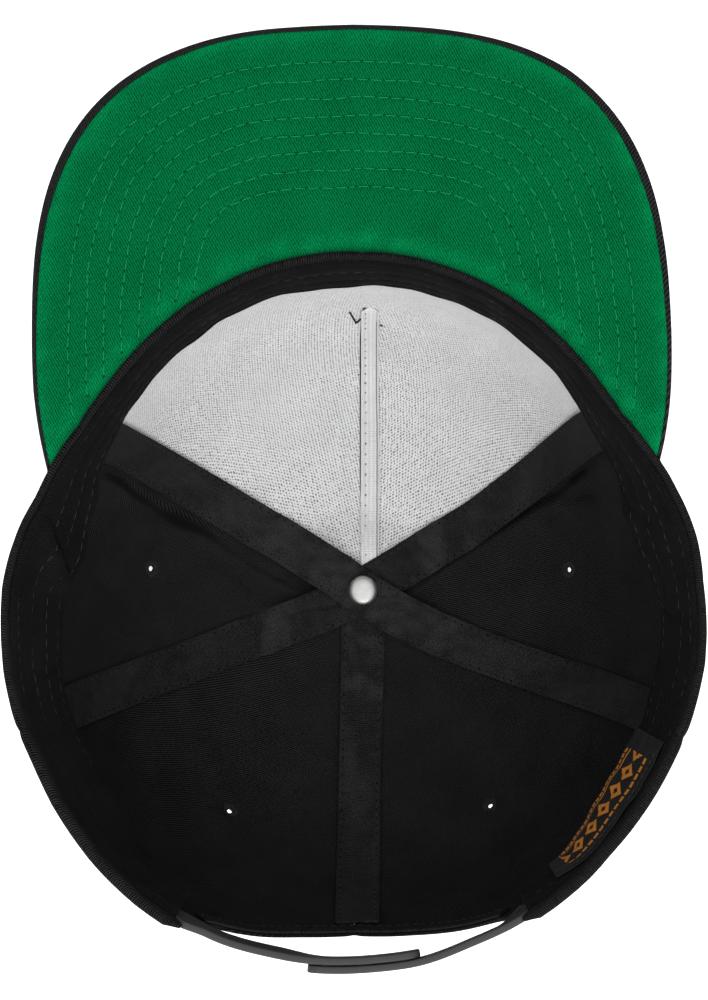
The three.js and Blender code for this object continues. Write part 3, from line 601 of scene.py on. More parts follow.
# Moulded polyethylene: satin, slightly waxy, with a faint even grain from the mould
def mouldedPolyethylene(name, plastic):
    material, tree, shader = startMaterial(name, {"IOR": 1.51, "Specular IOR Level": plastic["gloss"]})
    place = addNode(tree, "TexCoord").outputs["Object"]
    grain = addNode(tree, "TexNoise", {"Vector": place, "Scale": 2600.0, "Detail": 2.0})
    flow = addNode(tree, "TexNoise", {"Vector": place, "Scale": 45.0, "Detail": 4.0})
    rough = addNode(tree, "MapRange", {"Value": flow, "From Min": 0.3, "From Max": 0.7,
                                       "To Min": plastic["roughness"] - 0.06, "To Max": plastic["roughness"] + 0.08})
    tree.links.new(rough.outputs[0], shader.inputs["Roughness"])
    colourAndRelief(tree, shader, flow, plastic["shade"], plastic["body"], grain, 0.03, 0.5)
    return material


# Nickel-plated steel: stamped and barrel plated, bright with soft fine scuffs
def platedNickel(name, plate):
    material, tree, shader = startMaterial(name, {"Metallic": 1.0})
    place = addNode(tree, "TexCoord").outputs["Object"]
    scuff = addNode(tree, "TexNoise", {"Vector": place, "Scale": 700.0, "Detail": 5.0, "Roughness": 0.7})
    film = addNode(tree, "TexNoise", {"Vector": place, "Scale": 180.0, "Detail": 2.0})
    rough = addNode(tree, "MapRange", {"Value": scuff, "From Min": 0.35, "From Max": 0.7,
                                       "To Min": plate["roughness"], "To Max": plate["roughness"] + 0.14})
    tree.links.new(rough.outputs[0], shader.inputs["Roughness"])
    colourAndRelief(tree, shader, film, plate["film"], plate["nickel"], scuff, 0.05, 0.25)
    return material


# Rib and yarn spacings are drawn about half as coarse again as in the real cloth, so that they show
blackTwill = wovenTwill("blackCottonTwillWoven", dict(
    shade="#040405", yarn="#2B2B2C", fuzz="#8A8A8C", roughness=0.85, gloss=0.05, sheen=0.03, ribPitch=0.64,
    ribAngle=60, yarnPitch=0.42, wander=1.2, ribContrast=0.28, cloudiness=0.4, span=0.27, relief=0.09))
greenTwill = wovenTwill("greenCottonTwillWoven", dict(
    shade="#002A10", yarn="#017542", fuzz="#5FBF8C", roughness=0.82, gloss=0.02, sheen=0.0, ribPitch=0.72,
    ribAngle=-62, yarnPitch=0.5, wander=1.2, ribContrast=0.22, cloudiness=0.3, span=0.42, relief=0.08))
bandTwill = wovenTwill("blackSweatbandTwillWoven", dict(
    shade="#040405", yarn="#181819", fuzz="#8A8A8C", roughness=0.85, gloss=0.04, sheen=0.03, ribPitch=0.58,
    ribAngle=68, yarnPitch=0.4, wander=1.4, ribContrast=0.2, cloudiness=0.5, span=0.28, relief=0.08))
blackTape = wovenTape("blackCottonTapeWoven", dict(
    shade="#070708", yarn="#2D2D2E", fuzz="#8A8A8C", roughness=0.8, gloss=0.06, sheen=0.03, ribPitch=0.6,
    yarnPitch=0.5, yarnShare=0.6, ribTone=0.07, mottle=0.2, span=0.13, relief=0.06))
stripCloth = wovenTape("whiteCottonTapeRibbed", dict(
    shade="#BFBFBF", yarn="#E0E0E0", fuzz="#F4F4F4", roughness=0.85, gloss=0.1, sheen=0.05, ribPitch=0.8,
    yarnPitch=1.45, yarnShare=1.6, ribTone=0.1, mottle=0.4, span=0.4, relief=0.06))
buckramCloth = sizedBuckram("whiteBuckramWovenAndSized", dict(
    shade="#CFCFCF", yarn="#E0E0E0", pinhole="#464646", pitchAcross=1.05, pitchDown=0.9, unevenness=3.0,
    relief=0.14))
blackThread, eyeletThread, greyThread, greenThread, whiteThread = (
    spunThread(name, dict(shade=shade, yarn=yarn, roughness=roughness, gloss=gloss))
    for name, shade, yarn, roughness, gloss in (
        ("blackPolyesterThreadSpun", "#0E0E0F", "#2E2E2F", 0.6, 0.2),
        ("blackRayonThreadEmbroidered", "#050506", "#343435", 0.7, 0.1),
        ("greyPolyesterThreadSpun", "#1C1C1D", "#3E3E40", 0.6, 0.2),
        ("greenPolyesterThreadSpun", "#007440", "#079152", 0.6, 0.15),
        ("whitePolyesterThreadSpun", "#C4C4C4", "#DEDEDE", 0.6, 0.3)))
# Painted shade for the needle holes: dark colours laid where each hole lies in shade
darkPit = needleHoleShade("blackClothNeedleHoleShadePainted", dict(deep="#040404", shadeTrace="#0C0C0C"))
greenPit = needleHoleShade("greenClothNeedleHoleShadePainted", dict(deep="#013A1E", shadeTrace="#04552F"))
whitePit = needleHoleShade("whiteClothNeedleHoleShadePainted", dict(deep="#4A4A4A", shadeTrace="#8C8C8C"))
strapPlastic = mouldedPolyethylene("blackPolyethyleneMoulded", dict(
    shade="#2F2F30", body="#3A3A3B", roughness=0.56, gloss=0.2))
nickel = platedNickel("nickelPlatedSteelStamped", dict(nickel="#BBBBBA", film="#A3A3A2", roughness=0.44))
print("finishes ready")


panelCloth = dict(thickness=1.2, seamGap=0.12, edgeRound=0.9, seamDip=0.35, dipWidth=1.6, columns=60,
                  backColumns=16, archColumns=34, flatRows=20, shoulderRows=64, edgeReach=1.6, stitchFromSeam=5.7,
                  hemEndRound=2.2, hemTaper=1.8, outsideFold=0.28, backCut=146.0)

# Folds of the loose side panels, over the crown's plan: they run along the front tapes and down from the band
panelFolds = (
    dict(line=[(-79, 39), (-73, 35.5), (-69, 31.5), (-57, 24.5), (-48, 20.5), (-41, 16), (-31, 9), (-21, 3.5),
               (-12, 0)], sink=2.8, width=1.3, ridge=1.7, offset=-3.4, spread=1.9),
    dict(line=[(-71, 27.5), (-64, 25), (-56, 22.5), (-48, 20)],
         sink=2.2, width=1.9, ridge=0.8, offset=-3.6, spread=2.2),
    dict(line=[(-43, 12), (-26, -0.5), (-16, -3)], sink=1.7, width=2.6, ridge=0.8, offset=3.4, spread=2.0),
    dict(line=[(-46, 12), (-28, -1), (-18, -4)], sink=0.0, width=2.0, ridge=1.5, offset=-4.4, spread=3.0, soft=10.0),
    dict(line=[(-82, 19), (-66, 19.5), (-50, 15)], sink=0.0, width=2.0, ridge=1.8, offset=0.0, spread=3.6, soft=12.0),
    dict(line=[(-83, 8), (-77, 1), (-72, -6)], sink=2.0, width=3.0, soft=6.0),
    dict(line=[(15, 0.5), (36, 14.5), (56, 27), (64, 32), (71, 38), (75, 41)],
         sink=2.6, width=1.3, ridge=1.5, offset=-3.4, spread=2.2),
    dict(line=[(62, 29), (69, 30.5), (78, 31)], sink=2.4, width=1.8, ridge=0.8, offset=-3.4, spread=2.4, soft=6.0),
    dict(line=[(-60, -8), (-30, -4), (-12, -2)], sink=0.4, width=1.2, soft=8.0),
)

# Folded hem by azimuth: how thick its roll is seen from above
hemTable = np.array([[0, 2.4], [45, 2.3], [60, 2.1], [75, 1.9], [95, 2.0], [105, 2.6], [118, 3.4], [138, 3.6],
                     [152, 3.6], [180, 3.4]])


def hemAt(azimuth):
    return np.interp(np.abs(wrapped(azimuth)), hemTable[:, 0], hemTable[:, 1])


eyelet = dict(diameter=6.0, hole=1.6, thickness=1.9, ridges=30, ridge=0.26, sides=120, cut=2.3)
eyeletPlaces = (
    ("ring_side_left", "eyelet_side_left", "side_panel_left", 84.1, 0.668),
    ("ring_side_right", "eyelet_side_right", "side_panel_right", -83.6, 0.65),
    ("ring_rear_left", "eyelet_rear_left", "back_panel_left", 147.8, 0.785),
    ("ring_rear_right", "eyelet_rear_right", "back_panel_right", -150.0, 0.785))


# Middle and inward direction of an eyelet, from its azimuth and its radius as a share of the crown's half-width
def eyeletFrame(azimuth, share):
    flat = flatRadius(azimuth)
    foot = rimRadius(azimuth) * shareAt(2, azimuth)
    stretch = 1 + math.asin((share * crown["rimWidth"] / 2 - flat) / (foot - flat)) / (math.pi / 2)
    return crownPoint(azimuth, stretch, 0.6), inward(azimuth, stretch)


# Shares along a meridian: the dimple, the flattened top, the shoulder, the wall and the rolled rim
def meridianRows(azimuth, first=0.0, fine=1.0):
    flat = flatRadius(azimuth)
    inner = [crown["stemHole"], 5, 8, 10.5, 12, 13.5, 15, 16.5, 18, 19.5, 21, 22.5, 24, 25.5, 27]
    rows = [np.asarray(radius / flat, float) for radius in inner]
    edge = 27 / flat
    rows += [lerp(edge, 1.0, k / panelCloth["flatRows"]) for k in range(1, panelCloth["flatRows"])]
    steps = int(panelCloth["shoulderRows"] * fine)
    rows += [np.full_like(flat, 1 + k / steps) for k in range(steps)]
    rim = [0.3, 0.62, 0.633, 0.7, 0.78, 0.85, 0.9, 0.93, 0.955, 0.968, 0.98, 0.99, 0.996, 1.0]
    rows += [np.full_like(flat, 2 + 0.3 * k / 8) for k in range(8)] + [np.full_like(flat, 2 + share) for share in rim]
    stacked = np.stack(np.broadcast_arrays(*rows), axis=-1)
    top = clothTop(azimuth)[..., None]
    return np.where(stacked > 1, 1 + (stacked - 1) * (top - 1) / 2, stacked)[..., int(first):]


def makePanel(name, node, start, end, archSide, ribTurn):
    spec = panelCloth
    if archSide:
        straight = edged(abs(start), 180 - crown["archHalf"], spec["backColumns"], spec["edgeReach"], (True, False))
        arch = 180 - crown["archHalf"] * np.cos(np.linspace(0, math.pi / 2, spec["archColumns"]))
        columns = archSide * np.concatenate([straight[:-1], arch[:-1], 180 - np.array([0.9, 0.45, 0.15, 0.0])])
        columns = archSide * np.unique(np.round(np.abs(columns), 5))
    else:
        columns = edged(start, end, spec["columns"], spec["edgeReach"])
    rows = meridianRows(columns)
    azimuth = np.repeat(columns[:, None], rows.shape[1], axis=1)
    radius = meridian(azimuth, rows)[0]
    low, high = min(start, end), max(start, end)
    nearTop = smoothStep(rows - clothTop(columns)[:, None], -0.12, -0.02)
    gap = np.degrees(spec["seamGap"] / 2 / radius) * (1 - np.maximum(smoothStep(rows, 2.5, 2.8), nearTop))
    azimuth = np.clip(azimuth, low + gap, high - gap)
    toSeam = np.minimum(azimuth - low, high - azimuth) * math.pi / 180 * radius
    toTop = (clothTop(columns)[:, None] - rows) * np.where(rows > 2, crown["wall"], 60)
    # The hem is a roll at the very top, and rounds off where it meets the back opening
    toArch = np.maximum(180 - crown["archHalf"] - np.abs(azimuth), 0) * math.pi / 180 * radius
    rolled = smoothStep(rows, 2.80, 2.90) * roundedEdge(toArch, spec["hemTaper"])
    uneven = 1 + 0.05 * ripple(azimuth * rimPerDegree, 0 * azimuth, 14, 9.0)
    half = lerp(spec["thickness"], hemAt(azimuth), rolled) * uneven / 2
    atRim = np.maximum(smoothStep(rows, 2.6, 2.8), nearTop)
    seamProfile = roundedEdge(toSeam + 0.35 * atRim, spec["edgeRound"])
    profile = np.maximum(seamProfile, 0.95 * atRim) * roundedEdge(toTop, half)
    dip = spec["seamDip"] * bump(toSeam, spec["dipWidth"])
    corner = (1 - roundedEdge(toArch, spec["hemEndRound"])) * smoothStep(rows, 2.35, 2.8)
    place = crownPlace(azimuth, rows)
    fold = foldsAt(place[..., 0], place[..., 1], panelFolds)
    fold = np.where(fold < 0, fold * smoothStep(rows, 1.0, 1.25), fold)
    shift = fold + corner * hemAt(azimuth) / 2
    # A fold shows less on the outside than on the inside
    shallow = shift - spec["outsideFold"] * np.minimum(fold, 0)
    outer = crownPoint(azimuth, rows, shallow + half * (1 - profile) + dip * smoothStep(rows, 1.0, 1.1))
    inner = crownPoint(azimuth, rows, shift + half + half * profile)
    middle = archSide * spec["backCut"] if archSide else (start + end) / 2
    uvs = turnedUvs(cutCoordinates(azimuth, rows, middle), ribTurn)
    holes = [(*eyeletFrame(at, share), eyelet["cut"]) for _, _, panel, at, share in eyeletPlaces if panel == node]
    # The folded hem is given a darker tone than the rest, and the lower wall of the back panels is darkened as
    # painted shade, where it lies away from the key light
    wearAndPaintedLight = -0.3 * rolled - abs(archSide) * 0.4 * smoothStep(rows, 1.3, 1.8) * (1 - rolled)
    makeSheet(name, outer, inner, uvs, blackTwill, [node], wearAndPaintedLight, holes)


seams = crown["seams"]
panels = (
    ("twill_front_left", "front_panel_left", seams["front"], seams["frontLeft"], 0, 0.0),
    ("twill_front_right", "front_panel_right", seams["frontRight"], seams["front"], 0, 0.0),
    ("twill_side_left", "side_panel_left", seams["frontLeft"], seams["rearLeft"], 0, 12.0),
    ("twill_side_right", "side_panel_right", seams["rearRight"], seams["frontRight"], 0, -8.0),
    ("twill_back_left", "back_panel_left", seams["rearLeft"], 180.0, 1, 28.0),
    ("twill_back_right", "back_panel_right", seams["rearRight"], -180.0, -1, -9.0),
)
for panel in panels:
    makePanel(*panel)
print("panels made")

buckramLayer = dict(inset=1.55, thickness=1.0, columns=40, tiltLeft=14.0, tiltRight=-6.0, slit=0.36,
                    slitReach=9.0)
overBuckram = 2.9


def makeBuckram(name, node, start, end, tilt):
    spec = buckramLayer
    columns = edged(start, end, spec["columns"], 1.2)
    rows = meridianRows(columns, 2, 1.2)
    keep = np.arange(rows.shape[1]) < rows.shape[1] - 16
    rows = rows[:, keep]
    azimuth = np.repeat(columns[:, None], rows.shape[1], axis=1)
    radius = meridian(azimuth, rows)[0]
    low, high = min(start, end), max(start, end)
    gap = np.degrees(0.06 / radius)
    azimuth = np.clip(azimuth, low + gap, high - gap)
    # On the wearer's right the edge stands a little off the seam strip, and the black cloth shows beside it
    seamSide = np.abs(azimuth - seams["front"]) * math.pi / 180 * radius
    off = spec["slit"] * smoothStep(rows, 0.5, 0.7) * (1 - smoothStep(rows, 1.42, 1.56)) \
        * np.clip(1 - seamSide / spec["slitReach"], 0, 1)
    azimuth = azimuth - np.degrees(off / radius) * (azimuth < seams["front"])
    toEdge = np.minimum(azimuth - low, high - azimuth) * math.pi / 180 * radius + 9 * (seamSide < 4)
    half = spec["thickness"] / 2
    profile = roundedEdge(np.abs(toEdge) + 0.3, 0.5)
    outer = crownPoint(azimuth, rows, spec["inset"] + half * (1 - profile))
    inner = crownPoint(azimuth, rows, spec["inset"] + half * (1 + profile))
    uvs = turnedUvs(cutCoordinates(azimuth, rows, (start + end) / 2), tilt)
    makeSheet(name, outer, inner, uvs, buckramCloth, [node])


makeBuckram("buckram_sheet_left", "buckram_left", seams["front"], seams["frontLeft"], buckramLayer["tiltRight"])
makeBuckram("buckram_sheet_right", "buckram_right", seams["frontRight"], seams["front"], buckramLayer["tiltLeft"])
print("buckram made")


# Stitches along rows of points with their surface normals. Each is a bent thread that dives at both ends,
# and the pits mark the needle holes between them: small dark lenses laid on the cloth, painted shade of each hole.
def sewRows(name, rows, thread, material, pitMaterial=None):
    chance = np.random.default_rng(thread["seed"])
    sides = 5
    stations = np.array([0.0, 0.16, 0.5, 0.84, 1.0])
    thickness = np.array([0.55, 0.95, 1.0, 0.95, 0.55])
    lifts = np.array([-0.9, 0.35, 1.0, 0.35, -0.9])
    angles = np.linspace(0, 2 * math.pi, sides, endpoint=False)
    allPoints, allFaces, allUvs, allSlots = [], [], [], []
    count = 0
    for points, normals in rows:
        run = np.r_[0, np.cumsum(np.linalg.norm(np.diff(points, axis=0), axis=1))]
        number = int(run[-1] // thread["pitch"])
        if number < 1:
            continue
        begin = (run[-1] - number * thread["pitch"]) / 2 + thread["pitch"] * np.arange(number)
        begin = begin + chance.uniform(-0.12, 0.12, number)
        length = (thread["pitch"] - thread["gap"]) * chance.uniform(0.92, 1.04, number)
        along = begin[:, None] + length[:, None] * stations

        def sample(values, where):
            return np.stack([np.interp(where, run, values[:, k]) for k in range(3)], axis=-1)

        spine = sample(points, along)
        up = unit(sample(normals, along))
        ahead = unit(np.gradient(spine, axis=1))
        side = unit(np.cross(ahead, up))
        skew = chance.uniform(-1, 1, number)[:, None] * thread["skew"] * np.linspace(-1, 1, len(stations))
        spine = spine + side * skew[..., None] + up * (lifts * thread["lift"])[None, :, None]
        ring = (side[:, :, None] * np.cos(angles)[:, None] + 0.8 * up[:, :, None] * np.sin(angles)[:, None])
        body = spine[:, :, None] + ring * (thickness * thread["radius"])[None, :, None, None]
        allPoints.append(body.reshape(-1, 3))
        uAlong = np.broadcast_to(along[:, :, None], body.shape[:3])
        vRound = np.broadcast_to(angles * thread["radius"], body.shape[:3])
        allUvs.append(np.stack([uAlong, vRound], axis=-1).reshape(-1, 2))
        perStitch = len(stations) * sides
        base = count + np.arange(number)[:, None, None] * perStitch
        k = np.arange(len(stations) - 1)[None, :, None] * sides
        s = np.arange(sides)[None, None, :]
        a = base + k + s
        b = base + k + (s + 1) % sides
        quads = np.stack([a, b, b + sides, a + sides], axis=-1).reshape(-1, 4)
        allFaces += quads.tolist()
        allFaces += (base[:, 0] + np.arange(sides)[::-1]).tolist()
        allFaces += (base[:, 0] + perStitch - sides + np.arange(sides)).tolist()
        allSlots += [0] * (len(quads) + 2 * number)
        count += number * perStitch
        # Each needle hole is a small dark lens on the cloth: painted shade
        if pitMaterial is not None:
            where = np.r_[begin - thread["gap"] / 2, begin[-1] + thread["pitch"] - thread["gap"] / 2]
            where = np.clip(where, 0, run[-1])
            centre, up = sample(points, where), unit(sample(normals, where))
            before, after = np.maximum(where - 0.4, 0), np.minimum(where + 0.4, run[-1])
            ahead = unit(sample(points, after) - sample(points, before))
            side = np.cross(ahead, up)
            turn = np.linspace(0, 2 * math.pi, 6, endpoint=False)
            size = thread["pit"] * chance.uniform(0.8, 1.15, len(where))[:, None, None]
            edge = centre[:, None] + size * (ahead[:, None] * 1.25 * np.cos(turn)[:, None]
                                             + side[:, None] * np.sin(turn)[:, None])
            top = centre + up * thread["pitRise"]
            low = centre - up * 0.15
            lens = np.concatenate([edge, top[:, None], low[:, None]], axis=1)
            allPoints.append(lens.reshape(-1, 3))
            allUvs.append(np.zeros((lens.shape[0] * 8, 2)))
            base = count + np.arange(len(where))[:, None] * 8
            for k in range(6):
                n = (k + 1) % 6
                allFaces += np.stack([base[:, 0] + k, base[:, 0] + n, base[:, 0] + 6], axis=1).tolist()
                allFaces += np.stack([base[:, 0] + n, base[:, 0] + k, base[:, 0] + 7], axis=1).tolist()
            allSlots += [1] * (12 * len(where))
            count += len(where) * 8
    materials = [material] if pitMaterial is None else [material, pitMaterial]
    piece = makePiece(name, np.concatenate(allPoints), allFaces, materials, np.concatenate(allUvs))
    piece.data.polygons.foreach_set("material_index", allSlots)
    return piece


tapes = dict(width=14.0, thickness=1.0, bunch=0.6, step=1.35, columns=30, stitchFromEdge=1.35, lining=1.55,
             endHeight=75.4, archTop=51.0, wrinkle=0.35, station=0.9, backInset=1.9)
tapeThread = dict(pitch=2.9, gap=0.9, radius=0.2, lift=0.06, skew=0.12, pit=0.27, pitRise=0.04, seed=21)

# How far each half of a tape strays from its seam, by distance from the crown's middle
tapeDrift = {
    "front": [(0, 0), (100, 0)],
    "frontLeft": [(0, 0), (9, 0.8), (20, 1.6), (30, 2.2), (44, 3.5), (52, 3.5), (62, 3.0), (72, 2.2), (82, 1.0),
                  (90, 0)],
    "rearLeft": [(0, 0), (15, 2.1), (30, 2.9), (42, 2.8), (59, 1.7), (72, 0.4), (83, -1.0), (98, -2.4)],
    "frontRight": [(0, 0), (8, 0.7), (30, 0.8), (45, 0.0), (100, 0.0)],
    "rearRight": [(0, 0), (15, -1.4), (60, -1.5), (85, -0.6), (100, 0.0)],
    "back": [(0, 0), (8, -0.9), (100, -0.9)],
}

# Creases pressed into the tapes where they bunch at the rivet
tapeFolds = (
    dict(line=[(6.5, -1.3), (11, -1.2), (16, -0.7)],
         sink=0.7, width=0.6, ridge=0.5, offset=-1.4, spread=1.0, soft=3.0),
    dict(line=[(8, -4.0), (14, -5.4), (25, -5.6)],
         sink=0.8, width=0.7, ridge=0.5, offset=1.5, spread=1.1, soft=4.0),
    dict(line=[(-2, -0.8), (-7, -0.9), (-12, -0.2)],
         sink=0.7, width=0.6, ridge=0.4, offset=-1.4, spread=1.0, soft=3.0),
    dict(line=[(-2, -3.6), (-7, -4.4), (-15, -5.6), (-22, -8)],
         sink=0.7, width=0.7, ridge=0.4, offset=1.4, spread=1.0, soft=4.0),
)


def stripPoint(azimuth, stretch, across, inset):
    flat = flatRadius(azimuth)
    along = stretch * flat
    turn = math.radians(azimuth)
    radius = np.hypot(along, across)
    x = along * math.sin(turn) + across * math.cos(turn) + crown["buttonShift"] * (1 - radius / rimRadius(azimuth))
    y = along * math.cos(turn) - across * math.sin(turn)
    onTop = np.stack([x, y, dimple(radius)], axis=-1)
    onTop[..., 2] += inset + slackAt(onTop, np.full(x.shape, 0.9))
    bend = smoothStep(stretch, 0.86, 1.14)[..., None]
    beyond = np.maximum(stretch, 0.8)
    outer = meridian(azimuth, beyond)[0]
    leaning = crownPoint(azimuth + np.degrees(np.arctan2(across, outer)), beyond, inset)
    curved, height, rim = meridian(azimuth, np.maximum(stretch, 1.0))
    reach = np.where(stretch < 1, along, curved)
    spread = np.hypot(reach, across)
    x = reach * math.sin(turn) + across * math.cos(turn) + crown["buttonShift"] * (1 - spread / rim)
    y = reach * math.cos(turn) - across * math.sin(turn)
    straight = np.stack([x, y, np.where(stretch < 1, onTop[..., 2], height + inset)], axis=-1)
    return lerp(straight, leaning, bend)


def stripNormal(azimuth, stretch, across):
    outer = meridian(azimuth, np.maximum(stretch, 1.0))[0]
    slanted = inward(azimuth + np.degrees(np.arctan2(across, outer)), np.maximum(stretch, 1.0001))
    return unit(lerp(np.array([0.0, 0.0, 1.0]), slanted, smoothStep(stretch, 0.86, 1.14)[..., None]))


# Stations of one half of a tape, from the button outwards, evenly spaced
def tapeStations(azimuth, end):
    dense = np.linspace(0.0, end, 400)
    radius, height, _ = meridian(azimuth, dense)
    run = np.r_[0, np.cumsum(np.hypot(np.diff(radius), np.diff(height)))]
    return np.interp(np.linspace(0, run[-1], int(run[-1] / tapes["station"])), run, dense)


def tapeSurface(halves, layer, stations, sides, across, depth):
    spec = tapes
    result = []
    for (seam, _, seamInset), stretch, side in zip(halves, stations, sides):
        azimuth = seams[seam]
        drift = np.array(tapeDrift[seam], float)
        strayed = np.interp(meridian(azimuth, stretch)[0], drift[:, 0], drift[:, 1]) * (stretch > 0)
        s, v = np.broadcast_arrays(stretch[:, None], side * across[None, :] + strayed[:, None])
        along = s * flatRadius(azimuth)
        centre = spec["lining"] + spec["bunch"] + layer * spec["step"]
        inset = lerp(centre, seamInset, smoothStep(along, spec["width"], 2.2 * spec["width"]))
        place = stripPoint(azimuth, s, v, inset)
        # Slanting wrinkles cross the tape. Their raised crests are painted lighter as a painted highlight, and
        # further patches are rubbed light; both show most near the rivet
        slanting = ripple(along + 0.5 * v, 0.25 * v, 31 + layer, 13.0) + 0.4 * ripple(along, v, 34 + layer, 5.0)
        crestHighlightAndRub = 0.5 * np.clip(slanting, -0.2, 1.2) * (0.3 + bump(along - 22, 26)) \
            + 0.25 * np.clip(ripple(along, v, 37 + layer, 7.0), 0, 1.2) * bump(along - 14, 22)
        crumple = np.maximum(spec["wrinkle"] * (0.6 + bump(along, 34)) * np.clip(slanting, -0.6, 1.6), -0.2)
        crumple = crumple + foldsAt(place[..., 0], place[..., 1], tapeFolds) * (s < 1)
        normal = stripNormal(azimuth, s, v)
        result.append((place + normal * (depth * spec["thickness"] + crumple)[..., None], normal, crestHighlightAndRub))
    return result


def makeTape(name, node, halves, layer):
    spec = tapes
    across = edged(-spec["width"] / 2, spec["width"] / 2, spec["columns"], 0.8)
    stations = [tapeStations(seams[seam], end) for seam, end, _ in halves]
    sides = (1, -1)
    if len(halves) == 1:  # the back tape ends square, just beyond the button
        beyond = -spec["width"] / 2 / flatRadius(seams[halves[0][0]]) * np.array([1, 0.85, 0.6, 0.3])
        stations = [np.r_[beyond, stations[0]]]
    edge = roundedEdge(np.minimum(across - across[0], across[-1] - across), 0.6)[None, :]
    faces = []
    for sign in (-1, 1):
        depth = 0.5 + 0.5 * sign * np.maximum(edge, 0.25)
        parts = tapeSurface(halves, layer, stations, sides, across, depth)
        if len(parts) == 2:
            faces.append(np.concatenate([parts[1][0][::-1], parts[0][0][1:]]))
            crestHighlightAndRub = np.concatenate([parts[1][2][::-1], parts[0][2][1:]])
        else:
            faces.append(parts[0][0])
            crestHighlightAndRub = parts[0][2]
    uvs = np.stack([np.broadcast_to(across[None, :], faces[0].shape[:2]), arcAlong(faces[1], 0)], axis=-1)
    # The per-point value carries the painted highlight on the wrinkle crests and the rubbed patches
    makeSheet(name, faces[0], faces[1], uvs, blackTape, [node], crestHighlightAndRub)
    rows = []
    for v in (-1, 1):
        lane = np.array([v * (spec["width"] / 2 - spec["stitchFromEdge"])])
        lines = tapeSurface(halves, layer, stations, sides, lane, 1.0)
        start = 0 if len(halves) == 1 else 3
        for points, normals, _ in lines:
            rows.append((points[start:, 0], normals[start:, 0]))
    return rows


tapeEnd = float(stretchAtHeight(tapes["endHeight"]))
archTop = float(stretchAtHeight(tapes["archTop"]))
tapeRows = makeTape("tape_back", "seam_tape_back", [("back", archTop, tapes["backInset"])], 0)
tapeRows += makeTape("tape_front_left_rear_right", "seam_tape_front_left_rear_right",
                     [("frontLeft", tapeEnd, overBuckram), ("rearRight", tapeEnd, tapes["lining"])], 1)
tapeRows += makeTape("tape_front_right_rear_left", "seam_tape_front_right_rear_left",
                     [("frontRight", tapeEnd, overBuckram), ("rearLeft", tapeEnd, tapes["lining"])], 2)
sewRows("tape_stitches", tapeRows, tapeThread, blackThread, darkPit)
print("tapes made")

# White strip beside the front seam
# The last setting is how dark the painted shadow in the groove along the far edge is
seamStrip = dict(width=5.9, thickness=0.8, end=1.66, stations=130, columns=16, ribPitch=1.45, ribDepth=0.07,
                 edgeLift=0.35, above=0.18, needleLine=1.5, cornerRadius=2.6, tailReach=5.0, grooveFromEdge=0.75,
                 groove=0.55, grooveWidth=0.13, shadeTrace=3.6)
stripThread = dict(pitch=3.3, gap=0.9, radius=0.18, lift=0.03, skew=0.05, pit=0.3, pitRise=0.06, seed=22)


def makeFrontStrip():
    spec = seamStrip
    start = (tapes["width"] / 2 + 0.5) / flatRadius(seams["front"])
    stretch = edged(float(start), spec["end"], spec["stations"], 0.03)
    radius, height, _ = meridian(seams["front"], stretch)
    run = np.r_[0, np.cumsum(np.hypot(np.diff(radius), np.diff(height)))]
    toEnd = run[-1] - run
    groove = spec["width"] - spec["grooveFromEdge"]
    across = np.unique(np.r_[edged(0.0, spec["width"], spec["columns"], 0.5), groove + 0.09 * np.arange(-2, 3)])
    fromCorner = np.clip(spec["cornerRadius"] - toEnd, 0, None)
    corner = spec["cornerRadius"] - np.sqrt(np.clip(spec["cornerRadius"] ** 2 - fromCorner ** 2, 0, None))
    share = across[None, :] / spec["width"]
    v = corner[:, None] + share * (spec["width"] - 2 * corner[:, None])
    s = np.broadcast_to(stretch[:, None], v.shape)
    edge = roundedEdge(np.minimum(across, across[-1] - across), 0.5)[None, :]
    ribs = spec["ribDepth"] * np.cos(2 * math.pi * v / spec["ribPitch"])
    wave = 0.12 * ripple(v, run[:, None] * 0.4, 41, 4.0) \
        - spec["groove"] * bump(across - groove, spec["grooveWidth"])[None, :]
    base = overBuckram + spec["above"] + spec["edgeLift"] * bump(v, 0.8)
    half = spec["thickness"] / 2
    tail = roundedEdge(toEnd, spec["tailReach"])[:, None]
    body = half * np.maximum(edge * tail, 0.2)
    middle = base + half - 0.9 * (1 - tail)
    top = stripPoint(seams["front"], s, v, middle + body + (ribs + wave) * edge * tail)
    low = stripPoint(seams["front"], s, v, middle - body)
    uvs = np.stack([v, np.broadcast_to(run[:, None], v.shape)], axis=-1)
    # Painted shadow: a dark line along the groove by the far edge, the shade under the strip's folded edge, darkened
    # through the per-point value
    grooveShadow = np.broadcast_to(-spec["shadeTrace"] * bump(across - groove, 0.12)[None, :], v.shape) * (toEnd > 8)[:, None]
    makeSheet("seam_strip", low, top, uvs, stripCloth, ["front_seam_strip"], grooveShadow)
    lane = np.full((len(stretch), 1), spec["needleLine"])
    inset = overBuckram + spec["above"] + spec["thickness"] + 0.12
    points = stripPoint(seams["front"], stretch[:, None], lane, np.full(lane.shape, inset))[:, 0]
    return points, stripNormal(seams["front"], stretch[:, None], lane)[:, 0]


sewRows("strip_stitches", [makeFrontStrip()], stripThread, whiteThread, whitePit)

